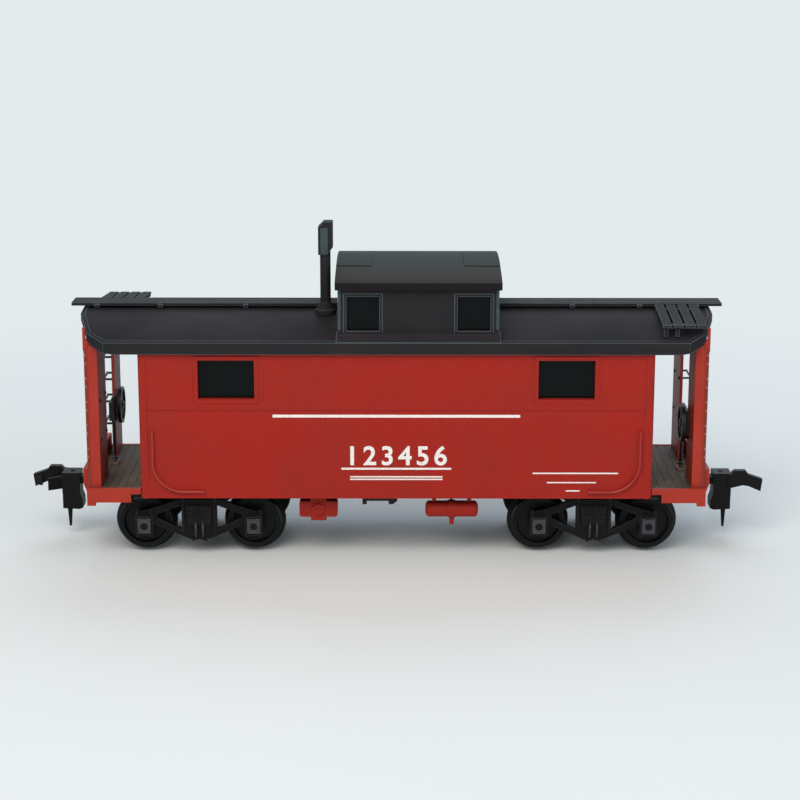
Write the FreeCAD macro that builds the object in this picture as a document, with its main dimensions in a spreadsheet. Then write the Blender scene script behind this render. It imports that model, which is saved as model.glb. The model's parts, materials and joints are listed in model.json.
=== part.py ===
import FreeCAD, Part
import os
import re
from collections import namedtuple

import Sketcher

# Model caboose, HO scale (1:87), as a parametric document. Millimetres throughout.
# Frame: +Z up, X along the car, Y across it. Z = 0 is the lowest point of the wheel flanges and
# X = Y = 0 is the middle of the car. The car repeats after half a turn about Z, apart from the
# cupola, the smokejack and the brake rigging, so a "left" piece is its "right" twin turned round.
# The -Y side is the side with the brake valve; at the right end the ladder is on that side too.

SIZES = {
    # wheels, axles and journals
    "tread_diameter": 9.6,
    "flange_depth": 0.65,
    "flange_thickness": 0.8,
    "tread_cone": 0.12,
    "wheel_width": 2.8,
    "wheel_gap": 14.4,
    "hub_radius": 1.7,
    "plate_thickness": 0.9,
    "rim_depth": 0.95,
    "axle_diameter": 1.8,
    "journal_diameter": 0.9,
    "journal_clearance": 0.05,
    "journal_start": 10.25,
    "journal_point": 0.35,
    "axle_length": 24.0,
    "axle_end_play": 0.12,
    "wheelbase": 19.25,
    # trucks
    "truck_spacing": 69.4,
    "sideframe_inside": 10.4,
    "sideframe_thickness": 1.2,
    "sideframe_top": 10.0,
    "sideframe_foot": 2.75,
    "foot_half": 1.6,
    "arch_shoulder": 3.6,
    "arch_end": 8.6,
    "arch_drop": 1.75,
    "arch_bar": 1.0,
    "column_half": 3.1,
    "tie_bar": 1.75,
    "gap_tip": 7.5,
    "box_width": 3.0,
    "box_height": 3.5,
    "box_depth": 0.8,
    "lid_inset": 0.35,
    "lid_depth": 0.3,
    "spring_half": 1.7,
    "spring_flare": 0.5,
    "spring_foot": 5.6,
    "spring_depth": 0.6,
    "leaf_pitch": 0.7,
    "leaf_groove": 0.2,
    "column_bolt_offset": 0.55,
    "column_bolt_diameter": 0.6,
    "truck_beam_length": 4.6,
    "truck_beam_bottom": 7.9,
    "truck_beam_top": 9.6,
    "truck_beam_end": 1.1,
    "side_bearing_offset": 6.0,
    "side_bearing_size": 1.6,
    "side_bearing_height": 0.3,
    "centre_plate_diameter": 6.0,
    "centre_plate_gap": 0.06,
    "king_pin_diameter": 1.6,
    "king_pin_clearance": 0.05,
    "king_head_diameter": 3.2,
    "king_head_height": 0.7,
    "king_head_gap": 0.1,
    # underframe
    "floor_bottom": 11.4,
    "floor_thickness": 0.75,
    "centre_sill_width": 4.6,
    "centre_sill_depth": 1.9,
    "centre_sill_length": 86.0,
    "truck_recess": 14.4,
    "body_beam_length": 4.0,
    "body_beam_width": 23.0,
    "body_beam_depth": 0.7,
    "body_beam_end": 0.3,
    "body_plate_depth": 1.25,
    "cross_beam_length": 1.5,
    "cross_beam_depth": 0.5,
    "cross_beam_inside": 12.2,
    "weight_length": 62.0,
    "weight_width": 22.0,
    "weight_thickness": 2.5,
    "screw_depth": 0.5,
    # body
    "body_length": 88.6,
    "body_width": 31.0,
    "body_bottom": 11.4,
    "wall_top": 38.2,
    "wall_thickness": 1.2,
    "body_corner": 0.5,
    "piece_gap": 0.05,
    "corner_strip_width": 1.35,
    "strip_relief": 0.14,
    "belt_bottom": 27.2,
    "belt_height": 1.3,
    "window_centre": 29.2,
    "window_width": 9.7,
    "window_bottom": 29.1,
    "window_height": 6.85,
    "window_frame": 0.6,
    "pane_thickness": 0.5,
    "pane_lap": 0.4,
    "door_width": 7.4,
    "door_height": 20.6,
    "door_thickness": 0.8,
    "door_recess": 0.3,
    "door_window_width": 3.6,
    "door_window_height": 4.6,
    "door_window_bottom": 25.6,
    "door_knob_diameter": 0.6,
    "handrail_diameter": 0.42,
    "handrail_standoff": 0.35,
    "handrail_side": 42.05,
    "handrail_top": 23.4,
    "handrail_bend_top": 18.45,
    "handrail_bend_end": 37.3,
    "handrail_bend_middle": 40.75,
    "handrail_bend_height": 14.45,
    "handrail_bottom": 12.7,
    "handrail_end": 33.3,
    # main roof
    "roof_length": 110.3,
    "nose_side": 6.0,
    "roof_width": 32.6,
    "roof_ridge": 42.65,
    "eave_bottom": 37.1,
    "fascia_height": 2.05,
    "fascia_thickness": 0.7,
    "roof_crown": 1.2,
    "roof_seat": 1.25,
    "corner_start": 50.0,
    "corner_end": 53.1,
    "corner_side": 13.6,
    "sweep_start": 48.0,
    "sweep_middle": 50.4,
    "sweep_middle_rise": 0.35,
    "sweep_turn": 52.2,
    "sweep_turn_rise": 1.05,
    "sweep_round": 53.4,
    "sweep_round_rise": 2.35,
    "sweep_end_rise": 3.9,
    "curb_top": 40.75,
    "curb_overlap": 0.25,
    "curb_width": 32.4,
    "curb_edge": 0.3,
    "fit_gap": 0.02,
    # roof walks and smokejack
    "board_width": 4.9,
    "board_top": 43.45,
    "board_thickness": 0.55,
    "board_reach": 57.3,
    "board_groove": 0.14,
    "board_gap": 0.6,
    "saddle_length": 0.8,
    "saddle_lap": 0.25,
    "saddle_end": 4.5,
    "saddle_left_middle": 41.6,
    "saddle_left_inner": 26.6,
    "saddle_right_middle": 42.8,
    "saddle_right_inner": 31.0,
    "slat_start": 45.4,
    "slat_pitch": 2.0,
    "slat_width": 1.5,
    "slat_thickness": 0.45,
    "slat_inside": 2.75,
    "slat_reach": 15.3,
    "slat_top": 43.3,
    "slat_drop": 1.2,
    "slat_bar": 0.7,
    "slat_bar_inside": 4.0,
    "slat_bar_outside": 13.9,
    "jack_clear": 1.96,
    "jack_offset": 5.0,
    "jack_diameter": 1.84,
    "jack_base_diameter": 3.6,
    "jack_base_height": 1.5,
    "jack_hood_left": 1.2,
    "jack_hood_right": 1.35,
    "jack_hood_depth": 2.4,
    "jack_hood_bottom": 52.6,
    "jack_hood_step": 1.3,
    "jack_top": 58.4,
    "jack_bevel": 1.0,
    # cupola
    "cupola_centre": 3.76,
    "cupola_length": 27.5,
    "cupola_width": 30.6,
    "cupola_wall": 1.0,
    "cupola_wall_top": 48.9,
    "cupola_window_offset": 9.45,
    "cupola_window_width": 5.6,
    "cupola_window_bottom": 41.05,
    "cupola_window_height": 5.95,
    "end_window_offset": 7.0,
    "end_window_width": 6.0,
    "end_window_bottom": 44.1,
    "end_window_height": 2.9,
    "cupola_frame": 0.5,
    "cupola_relief": 0.1,
    "cupola_roof_length": 28.4,
    "cupola_roof_width": 32.6,
    "cupola_eave_bottom": 48.25,
    "cupola_fascia_height": 1.25,
    "cupola_ridge": 51.25,
    "cupola_shell": 1.0,
    "cupola_hollow_length": 25.0,
    "crown_pad_length": 6.2,
    "crown_pad_width": 15.0,
    "crown_pad_edge": 51.0,
    "crown_pad_height": 0.2,
    # end platforms
    "deck_inset": 1.0,
    "floor_edge": 0.25,
    "deck_thickness": 0.8,
    "deck_end": 53.1,
    "plank_count": 6,
    "plank_pitch": 1.46,
    "plank_groove": 0.1,
    "plank_groove_depth": 0.1,
    "side_sill_thickness": 0.8,
    "side_sill_bottom": 10.55,
    "side_sill_start": 46.1,
    "side_sill_end": 53.75,
    "side_sill_lip": 0.1,
    "sill_notch_bottom": 12.05,
    "sill_lug_bottom": 9.95,
    "sill_lug_start": 52.3,
    "end_sill_outside": 54.7,
    "end_sill_half": 12.5,
    "end_sill_top": 15.9,
    "end_sill_bevel": 0.65,
    "sill_web_top": 11.95,
    "walkway_sill_top": 13.0,
    "coupler_notch_half": 4.2,
    # end frames, ladder rungs and grab irons
    "frame_plane": 51.4,
    "frame_thickness": 0.5,
    "frame_half_width": 14.0,
    "frame_crown_half": 12.8,
    "frame_crown_edge": 38.5,
    "frame_crown_top": 41.35,
    "doorway_near": 6.2,
    "doorway_far": 4.75,
    "doorway_top": 36.2,
    "doorway_corner": 1.0,
    "post_width": 1.1,
    "post_depth": 1.3,
    "post_top": 37.6,
    "post_rise": 0.7,
    "flange_reach": 1.15,
    "flange_inside": 12.6,
    "flange_wall": 0.6,
    "stile_inside": 12.95,
    "stile_width": 0.55,
    "stile_depth": 0.45,
    "stile_top": 41.2,
    "gusset_rise": 1.75,
    "rung_count": 5,
    "rung_pitch": 4.15,
    "rung_bottom": 19.1,
    "rung_diameter": 0.42,
    "rung_leg": 7.0,
    "rung_far_leg": 12.3,
    "wire_hole_depth": 0.3,
    "wire_clearance": 0.02,
    "grab_diameter": 0.36,
    "grab_inside": 5.9,
    "grab_outside": 12.0,
    "grab_height": 21.1,
    "grab_pitch": 6.9,
    "grab_pin": 0.25,
    # hand brake
    "brake_side": 6.6,
    "brake_height": 22.75,
    "brake_wheel_diameter": 6.7,
    "brake_wheel_thickness": 0.7,
    "brake_rim": 0.55,
    "brake_hub_diameter": 1.5,
    "brake_spoke": 0.4,
    "spindle_diameter": 0.7,
    "spindle_clearance": 0.05,
    "brake_wheel_gap": 0.2,
    "brake_box_depth": 0.5,
    "brake_box_back": 0.45,
    "brake_box_low": 1.0,
    "brake_box_high": 9.0,
    "brake_box_height": 5.0,
    "brake_rod_side": 1.7,
    "brake_rod_diameter": 0.6,
    "brake_foot_width": 2.0,
    "brake_foot_height": 1.6,
    # brake rigging under the floor
    "valve_centre": 13.65,
    "valve_length": 6.7,
    "valve_depth": 2.4,
    "valve_bottom": 7.2,
    "valve_height": 2.8,
    "valve_stem_width": 2.75,
    "valve_stem_bottom": 6.55,
    "valve_boss_diameter": 2.0,
    "valve_boss_depth": 0.5,
    "valve_place": 11.4,
    "tank_start": 5.1,
    "tank_length": 9.2,
    "tank_diameter": 2.85,
    "tank_band_length": 1.3,
    "tank_band_relief": 0.16,
    "tank_dome": 0.5,
    "tank_height": 8.6,
    "tank_place": 12.1,
    "tank_pipe_diameter": 0.8,
    "tank_pipe_bottom": 5.8,
    "tank_strap": 0.7,
    "cylinder_place": 6.5,
    "cylinder_start": -7.0,
    "cylinder_length": 5.5,
    "cylinder_diameter": 3.4,
    "cylinder_height": 8.7,
    "push_rod_diameter": 0.6,
    "push_rod_length": 4.0,
    "lever_start": -5.95,
    "lever_length": 6.1,
    "lever_bottom": 9.9,
    "lever_foot_bottom": 9.3,
    "lever_foot_length": 0.75,
    "lever_thickness": 1.0,
    # couplers
    "coupler_pivot": 50.5,
    "shank_width": 2.4,
    "shank_thickness": 1.28,
    "shank_play": 0.12,
    "shank_eye_diameter": 3.6,
    "centring_tail": 2.6,
    "tail_width": 0.4,
    "coupler_post_diameter": 2.0,
    "pivot_clearance": 0.05,
    "coupler_box_width": 6.6,
    "coupler_box_wall": 0.7,
    "coupler_box_back": 3.6,
    "coupler_box_front": 3.4,
    "coupler_lid_thickness": 0.6,
    "lid_screw_diameter": 0.9,
    "lid_screw_head": 2.0,
    "lid_screw_head_height": 0.45,
    "head_back": 57.1,
    "knee_back": 56.7,
    "head_front": 60.3,
    "head_half_width": 1.9,
    "head_bottom": 8.1,
    "head_top": 12.1,
    "knee_bottom": 5.3,
    "knee_half_width": 1.7,
    "hook_reach": 65.9,
    "hook_offset": 0.8,
    "hook_thickness": 1.3,
    "hook_bump_top": 12.7,
    "hook_tip_top": 11.1,
    "hook_tip_bottom": 8.9,
    "hook_waist": 10.0,
    "horn_reach": 62.6,
    "horn_spread": 3.2,
    "horn_bottom": 9.2,
    "trip_place": 59.3,
    "trip_bottom": 1.75,
    "trip_top_width": 0.9,
    "trip_foot_width": 0.35,
}

# What follows from the driving sizes, as expressions of the sheet.
AXLE_HEIGHT = "(tread_diameter / 2 + flange_depth)"
FLOOR_TOP = "(floor_bottom + floor_thickness)"
DECK_TOP = "(floor_bottom + floor_thickness + deck_thickness)"
HALF_BODY = "(body_length / 2)"
HALF_WIDTH = "(body_width / 2)"
INNER_WIDTH = "(body_width / 2 - wall_thickness)"
FASCIA_TOP = "(eave_bottom + fascia_height)"
HALF_ROOF = "(roof_width / 2)"
CUPOLA_LEFT = "(cupola_centre - cupola_length / 2)"
CUPOLA_RIGHT = "(cupola_centre + cupola_length / 2)"
FRAME_OUTSIDE = "(frame_plane + frame_thickness)"
POST_OUTSIDE = "(frame_plane + post_depth)"
WIRE_PLANE = "(frame_plane + post_depth + flange_reach - flange_wall / 2)"
SHANK_TOP = "(floor_bottom - shank_play)"
SHANK_BOTTOM = "(floor_bottom - shank_play - shank_thickness)"
LID_TOP = "(floor_bottom - 2 * shank_play - shank_thickness)"
LID_BOTTOM = "(floor_bottom - 2 * shank_play - shank_thickness - coupler_lid_thickness)"
BRAKE_FACE = "(frame_plane - brake_box_depth)"
CENTRE_PLATE_TOP = "(floor_bottom - body_plate_depth - centre_plate_gap)"
BEAM_SIDE = "(body_width / 2 - deck_inset)"
JACK_PLACE = "(cupola_centre - cupola_roof_length / 2 - jack_clear)"
SILL_BRIDGE = "floor_bottom"
SADDLES = {
    "left": ("-(board_reach - saddle_end)", "-saddle_left_middle", "-saddle_left_inner"),
    "right": ("board_reach - saddle_end", "saddle_right_middle", "saddle_right_inner"),
}

Disc = namedtuple("Disc", "x y radius")

DOC = FreeCAD.newDocument("Caboose")
SHEET = DOC.addObject("Spreadsheet::Sheet", "Sizes")
for row, (size_name, size_value) in enumerate(SIZES.items(), start=1):
    SHEET.set(f"A{row}", size_name)
    SHEET.set(f"B{row}", str(size_value))
    SHEET.setAlias(f"B{row}", size_name)
DOC.recompute()

PARTS = []
ROLES = {"X": "YZ_Plane", "Y": "XZ_Plane", "Z": "XY_Plane"}
HALF_TURN = FreeCAD.Placement(FreeCAD.Vector(), FreeCAD.Rotation(FreeCAD.Vector(0, 0, 1), 180))


# ---------------------------------------------------------------- expressions and sketches

def sheet_text(expression):
    """Put the sheet's name before every size in an expression."""
    def named(found):
        word = found.group(0)
        return "Sizes." + word if word in SIZES else word
    return re.sub(r"[a-z][a-z_]*", named, str(expression))


def number(expression):
    """Value of an expression of the sheet."""
    return float(SHEET.evalExpression(sheet_text(expression)))


def body(label, turned=False, several=False):
    """A PartDesign body that is exported; turned puts it at the other end of the car."""
    made = DOC.addObject("PartDesign::Body", label)
    made.Label = label
    made.AllowCompound = several
    if turned:
        made.Placement = HALF_TURN
    PARTS.append(made)
    return made


def datum(owner, role):
    """An origin plane or axis of a body."""
    return next(item for item in owner.Origin.OriginFeatures if item.Role == role)


def sketch_on(owner, axis, level, origin=("0", "0")):
    """A sketch square to an axis, at a level along the normal of the body's own origin plane."""
    sketch = owner.newObject("Sketcher::SketchObject", "Sketch")
    sketch.AttachmentSupport = [(datum(owner, ROLES[axis]), "")]
    sketch.MapMode = "FlatFace"
    for path, value in zip(("x", "y", "z"), (origin[0], origin[1], level)):
        sketch.setExpression(f".AttachmentOffset.Base.{path}", sheet_text(value))
    return sketch


def pin_point(sketch, geometry, place, x, y):
    """Hold a point of a sketch at coordinates given as expressions."""
    for kind, value in (("DistanceX", x), ("DistanceY", y)):
        index = sketch.addConstraint(Sketcher.Constraint(kind, -1, 1, geometry, place, number(value)))
        sketch.setExpression(f"Constraints[{index}]", sheet_text(value))


def arc_between(sketch, start, through, end):
    """An arc held on a guide point; returns it with the numbers of its start and end points."""
    middle = FreeCAD.Vector(number(through[0]), number(through[1]))
    forward = (middle - start).cross(end - middle).z > 0
    curve = Part.Arc(start, middle, end) if forward else Part.Arc(end, middle, start)
    arc = sketch.addGeometry(curve, False)
    guide = sketch.addGeometry(Part.Point(middle), True)
    pin_point(sketch, guide, 1, *through)
    sketch.addConstraint(Sketcher.Constraint("PointOnObject", guide, 1, arc))
    return (arc, 1, 2) if forward else (arc, 2, 1)


def loop(sketch, corners):
    """Close a loop through corners (x, y); (x, y, mx, my) leads on by an arc through (mx, my)."""
    points = [FreeCAD.Vector(number(corner[0]), number(corner[1])) for corner in corners]
    edges = []
    for index, corner in enumerate(corners):
        start = points[index]
        end = points[(index + 1) % len(points)]
        if len(corner) == 2:
            edges.append((sketch.addGeometry(Part.LineSegment(start, end), False), 1, 2))
            continue
        edges.append(arc_between(sketch, start, corner[2:], end))
    for index, corner in enumerate(corners):
        here = edges[index]
        after = edges[(index + 1) % len(edges)]
        sketch.addConstraint(Sketcher.Constraint("Coincident", here[0], here[2], after[0], after[1]))
        pin_point(sketch, here[0], here[1], corner[0], corner[1])


def draw(sketch, shapes):
    """Draw discs and corner loops; a loop inside another is a hole in it."""
    for shape in shapes:
        if not isinstance(shape, Disc):
            loop(sketch, shape)
            continue
        centre = FreeCAD.Vector(number(shape.x), number(shape.y))
        ring = Part.Circle(centre, FreeCAD.Vector(0, 0, 1), number(shape.radius))
        index = sketch.addGeometry(ring, False)
        limit = sketch.addConstraint(Sketcher.Constraint("Radius", index, number(shape.radius)))
        sketch.setExpression(f"Constraints[{limit}]", sheet_text(shape.radius))
        pin_point(sketch, index, 3, shape.x, shape.y)


def box(x_range, y_range):
    """Corners of a rectangle."""
    return [(x_range[0], y_range[0]), (x_range[1], y_range[0]),
            (x_range[1], y_range[1]), (x_range[0], y_range[1])]


def across(side, near, far):
    """Low and high end of a stretch from near to far on the side of -1 or 1."""
    return (near, far) if side > 0 else (f"-({far})", f"-({near})")


def both(half):
    """Low and high end of a stretch centred on zero."""
    return f"-({half})", half


# ---------------------------------------------------------------- features

def add(owner, axis, stretch, *shapes, origin=("0", "0")):
    """Extrude shapes along an axis between the two ends of a stretch."""
    low, high = stretch
    sketch = sketch_on(owner, axis, f"-({high})" if axis == "Y" else low, origin)
    draw(sketch, shapes)
    made = owner.newObject("PartDesign::Pad", "Pad")
    made.Profile = sketch
    made.setExpression("Length", sheet_text(f"({high}) - ({low})"))
    owner.Tip = made
    return made


def cut(owner, axis, stretch, *shapes, origin=("0", "0")):
    """Cut shapes out along an axis between the two ends of a stretch."""
    DOC.recompute()
    before = owner.Shape.Volume
    low, high = stretch
    sketch = sketch_on(owner, axis, f"-({low})" if axis == "Y" else high, origin)
    draw(sketch, shapes)
    made = owner.newObject("PartDesign::Pocket", "Pocket")
    made.Profile = sketch
    made.setExpression("Length", sheet_text(f"({high}) - ({low})"))
    owner.Tip = made
    DOC.recompute()
    if owner.Shape.Volume > before - 1e-6:
        raise ValueError(f"{owner.Label}: {made.Name} cuts nothing")
    return made


def turn(owner, axis, level, origin, about, *shapes):
    """Turn shapes through a full circle about the sketch's own horizontal or vertical axis."""
    sketch = sketch_on(owner, axis, level, origin)
    draw(sketch, shapes)
    made = owner.newObject("PartDesign::Revolution", "Revolution")
    made.Profile = sketch
    made.ReferenceAxis = (sketch, [about])
    made.Angle = 360
    owner.Tip = made
    return made


def repeat(owner, feature, direction, span, count):
    """Repeat a feature along an origin axis of its body."""
    made = owner.newObject("PartDesign::LinearPattern", "LinearPattern")
    made.Originals = [feature]
    made.Direction = (datum(owner, direction + "_Axis"), [""])
    made.setExpression("Length", sheet_text(span))
    made.setExpression("Occurrences", sheet_text(count))
    owner.Tip = made
    return made


def pipe(owner, profile, spine):
    """Sweep a profile along a spine."""
    made = owner.newObject("PartDesign::AdditivePipe", "AdditivePipe")
    made.Profile = profile
    made.Spine = spine
    owner.Tip = made
    return made


def soften(owner, radius, wanted):
    """Round the edges of a body that a test picks."""
    DOC.recompute()
    base = owner.Tip
    names = [f"Edge{index}" for index, edge in enumerate(base.Shape.Edges, start=1) if wanted(edge)]
    made = owner.newObject("PartDesign::Fillet", "Fillet")
    made.Base = (base, names)
    made.setExpression("Radius", sheet_text(radius))
    owner.Tip = made


def runs_along(edge, direction):
    """True for a straight edge parallel to x, y or z."""
    straight = edge.Curve.TypeId == "Part::GeomLine"
    return straight and abs(getattr(edge.tangentAt(edge.FirstParameter), direction)) > 0.99


def trim_to_roof(owner, stretch):
    """Cut a piece that stands on the main roof to the roof's arch."""
    under = f"{FASCIA_TOP} + fit_gap"
    low = "eave_bottom - 5"
    cut(owner, "X", stretch, [(f"-{HALF_ROOF}", low), (HALF_ROOF, low),
                              (HALF_ROOF, under, "0", "roof_ridge + fit_gap"), (f"-{HALF_ROOF}", under)])


# ---------------------------------------------------------------- running gear

def wheelset(label, centre):
    """An axle with pointed journals, and the two wheels pressed on it."""
    half = "axle_length / 2"
    journal = "journal_diameter / 2"
    thick = "axle_diameter / 2"
    axle = body(f"axle_{label}")
    turn(axle, "X", centre, ("0", AXLE_HEIGHT), "H_Axis",
         [(f"-{half}", "0"), (f"-({half} - journal_point)", journal), ("-journal_start", journal),
          ("-journal_start", thick), ("journal_start", thick), ("journal_start", journal),
          (f"{half} - journal_point", journal), (half, "0")])

    wheels = body(f"wheels_{label}", several=True)
    tread = "tread_diameter / 2"
    rim = "(tread_diameter / 2 - rim_depth)"
    for side in ("-", ""):
        back = f"{side}(wheel_gap / 2)"
        crown = f"{side}(wheel_gap / 2 + flange_thickness / 2)"
        throat = f"{side}(wheel_gap / 2 + flange_thickness)"
        plate = f"{side}(wheel_gap / 2 + wheel_width / 2 + plate_thickness / 2)"
        face = f"{side}(wheel_gap / 2 + wheel_width)"
        turn(wheels, "X", centre, ("0", AXLE_HEIGHT), "H_Axis",
             [(back, thick), (back, f"{tread} + flange_depth / 2"), (crown, AXLE_HEIGHT),
              (throat, tread), (face, f"{tread} - tread_cone"), (face, rim), (plate, f"{rim} - 0.2"),
              (plate, "hub_radius + 0.2"), (face, "hub_radius"), (face, thick)])


def truck(side, centre):
    """Truck bolster with its centre plate and side bearings, and the two sideframes."""
    beam = body(f"truck_bolster_{side}")
    here = (centre, "0")
    end = "sideframe_inside"
    plate = "centre_plate_diameter / 2"
    add(beam, "X", (f"{centre} - truck_beam_length / 2", f"{centre} + truck_beam_length / 2"),
        [(f"-{end}", "truck_beam_top - truck_beam_end"), (f"-({plate})", "truck_beam_bottom"),
         (plate, "truck_beam_bottom"), (end, "truck_beam_top - truck_beam_end"),
         (end, "truck_beam_top"), (f"-{end}", "truck_beam_top")])
    bearing = both("side_bearing_size / 2")
    outer = "side_bearing_offset + side_bearing_size"
    add(beam, "Z", ("truck_beam_top", "truck_beam_top + side_bearing_height"),
        box(bearing, across(-1, "side_bearing_offset", outer)),
        box(bearing, across(1, "side_bearing_offset", outer)), origin=here)
    add(beam, "Z", ("truck_beam_top", CENTRE_PLATE_TOP), Disc("0", "0", plate), origin=here)
    cut(beam, "Z", ("truck_beam_bottom", CENTRE_PLATE_TOP),
        Disc("0", "0", "king_pin_diameter / 2 + king_pin_clearance"), origin=here)
    sideframe(f"truck_sideframe_{side}_front", centre, -1)
    sideframe(f"truck_sideframe_{side}_back", centre, 1)


def sideframe(label, centre, side):
    """Arch-bar sideframe: arched top bar, V-shaped tie bar, journal boxes with lids, leaf springs."""
    made = body(label)
    here = (centre, "0")
    arm = "(wheelbase / 2 + box_width / 2)"
    inner_arm = "(wheelbase / 2 - box_width / 2)"
    outside = "sideframe_inside + sideframe_thickness"
    half = [("foot_half", "sideframe_foot"), (inner_arm, f"{AXLE_HEIGHT} + 0.1"),
            (arm, f"{AXLE_HEIGHT} - 0.6"), (arm, f"{AXLE_HEIGHT} + 2.2"),
            ("arch_end", "sideframe_top - arch_drop"), ("arch_shoulder", "sideframe_top")]
    outline = half + [(f"-({x})", z) for x, z in reversed(half)]
    gap = [("column_half", "sideframe_foot + tie_bar"), ("gap_tip", f"{AXLE_HEIGHT} + 1.25"),
           ("gap_tip", f"{AXLE_HEIGHT} + 1.9"), ("column_half", "sideframe_top - arch_bar")]
    mirrored_gap = [(f"-({x})", z) for x, z in reversed(gap)]
    add(made, "Y", across(side, "sideframe_inside", outside), outline, gap, mirrored_gap, origin=here)

    box_height = (f"{AXLE_HEIGHT} - box_height / 2", f"{AXLE_HEIGHT} + box_height / 2")
    lid_height = (f"{box_height[0]} + lid_inset", f"{box_height[1]} - lid_inset")
    boxes = []
    lids = []
    for way in ("-", ""):
        middle = f"{way}(wheelbase / 2)"
        boxes.append(box((f"{middle} - box_width / 2", f"{middle} + box_width / 2"), box_height))
        lids.append(box((f"{middle} - box_width / 2 + lid_inset",
                         f"{middle} + box_width / 2 - lid_inset"), lid_height))
    box_face = f"{outside} + box_depth"
    add(made, "Y", across(side, "sideframe_inside", box_face), *boxes, origin=here)
    add(made, "Y", across(side, box_face, f"{box_face} + lid_depth"), *lids, origin=here)

    spring_top = "sideframe_top - arch_bar"
    add(made, "Y", across(side, outside, f"{outside} + spring_depth"),
        [("-spring_half", "spring_foot"), ("spring_half", "spring_foot"),
         ("spring_half + spring_flare", spring_top), ("-spring_half - spring_flare", spring_top)],
        origin=here)
    leaf = ("spring_foot + leaf_pitch", "spring_foot + leaf_pitch + leaf_groove")
    groove = cut(made, "Y", across(side, f"{outside} + spring_depth / 2", f"{outside} + spring_depth"),
                 box(both("spring_half + 1"), leaf), origin=here)
    repeat(made, groove, "Z", "3 * leaf_pitch", "4")
    bolt_line = f"{'-' if side < 0 else ''}({outside} + column_bolt_diameter / 4)"
    add(made, "Z", ("sideframe_foot", "spring_foot + 0.1"),
        Disc("-column_bolt_offset", bolt_line, "column_bolt_diameter / 2"),
        Disc("column_bolt_offset", bolt_line, "column_bolt_diameter / 2"), origin=here)
    bore = "journal_diameter / 2 + journal_clearance"
    cut(made, "Y", across(side, "sideframe_inside", "axle_length / 2 + axle_end_play"),
        Disc("-wheelbase / 2", AXLE_HEIGHT, bore), Disc("wheelbase / 2", AXLE_HEIGHT, bore), origin=here)


# ---------------------------------------------------------------- underframe and fastenings

def underframe():
    """Floor with body bolsters, centre sill and the stubs of the end beams."""
    made = body("underframe")
    side = f"{INNER_WIDTH} - piece_gap"
    add(made, "Z", ("floor_bottom", FLOOR_TOP), box(both(f"{HALF_BODY} + piece_gap"), both(side)))
    add(made, "Z", ("floor_bottom", FLOOR_TOP), box(both("deck_end"), both(f"{BEAM_SIDE} - floor_edge")))
    add(made, "Z", ("floor_bottom - centre_sill_depth", "floor_bottom"),
        box(both("centre_sill_length / 2"), both("centre_sill_width / 2")))
    for way in ("-", ""):
        centre = f"{way}(truck_spacing / 2)"
        here = (centre, "0")
        cut(made, "Z", ("floor_bottom - centre_sill_depth", "floor_bottom"),
            Disc("0", "0", "truck_recess / 2"), origin=here)
        wide = "body_beam_width / 2"
        plate = "centre_plate_diameter / 2"
        add(made, "X", (f"{centre} - body_beam_length / 2", f"{centre} + body_beam_length / 2"),
            [(f"-{wide}", "floor_bottom"), (f"-{wide}", "floor_bottom - body_beam_end"),
             (f"-{plate}", "floor_bottom - body_beam_depth"), (plate, "floor_bottom - body_beam_depth"),
             (wide, "floor_bottom - body_beam_end"), (wide, "floor_bottom")])
        add(made, "Z", ("floor_bottom - body_plate_depth", "floor_bottom"), Disc("0", "0", plate),
            origin=here)
        cut(made, "Z", ("floor_bottom - body_plate_depth", "floor_bottom + screw_depth"),
            Disc("0", "0", "king_pin_diameter / 2 + fit_gap"), origin=here)
        start = f"{way}({HALF_BODY} + piece_gap)"
        stop = f"{way}({HALF_BODY} + piece_gap + cross_beam_length)"
        for edge in (-1, 1):
            add(made, "Z", ("floor_bottom - cross_beam_depth", "floor_bottom"),
                box((start, stop), across(edge, "cross_beam_inside", BEAM_SIDE)))
        cut(made, "Z", ("floor_bottom", "floor_bottom + screw_depth"),
            Disc(f"{way}coupler_pivot", "0", "lid_screw_diameter / 2 + fit_gap"))


def king_pins():
    """Shouldered screws on which the trucks turn."""
    made = body("king_pin_screws", several=True)
    head_top = "truck_beam_bottom - king_head_gap"
    head = f"{head_top} - king_head_height"
    top = "floor_bottom + screw_depth"
    for way in ("-", ""):
        turn(made, "Y", "0", (f"{way}(truck_spacing / 2)", "0"), "V_Axis",
             [("0", head), ("king_head_diameter / 2", head), ("king_head_diameter / 2", head_top),
              ("king_pin_diameter / 2", head_top), ("king_pin_diameter / 2", top), ("0", top)])


def steel_weight():
    """Ballast plate that lies on the floor inside the body."""
    made = body("steel_weight")
    add(made, "Z", (FLOOR_TOP, f"{FLOOR_TOP} + weight_thickness"),
        box(both("weight_length / 2"), both("weight_width / 2")))


# ---------------------------------------------------------------- brake rigging

def control_valve():
    """Brake control valve: a rounded casting on a stem below the floor."""
    made = body("control_valve")
    depth = ("-valve_place - valve_depth / 2", "-valve_place + valve_depth / 2")
    here = ("-valve_centre", "0")
    add(made, "Y", depth, box(both("valve_length / 2"), ("valve_bottom", "valve_bottom + valve_height")),
        origin=here)
    soften(made, "valve_height / 6", lambda edge: runs_along(edge, "y"))
    add(made, "Y", depth, box(both("valve_stem_width / 2"), ("valve_stem_bottom", "floor_bottom")),
        origin=here)
    add(made, "Y", ("-valve_place - valve_depth / 2 - valve_boss_depth", "-valve_place"),
        Disc("0", "valve_bottom + valve_height / 2", "valve_boss_diameter / 2"), origin=here)


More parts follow.
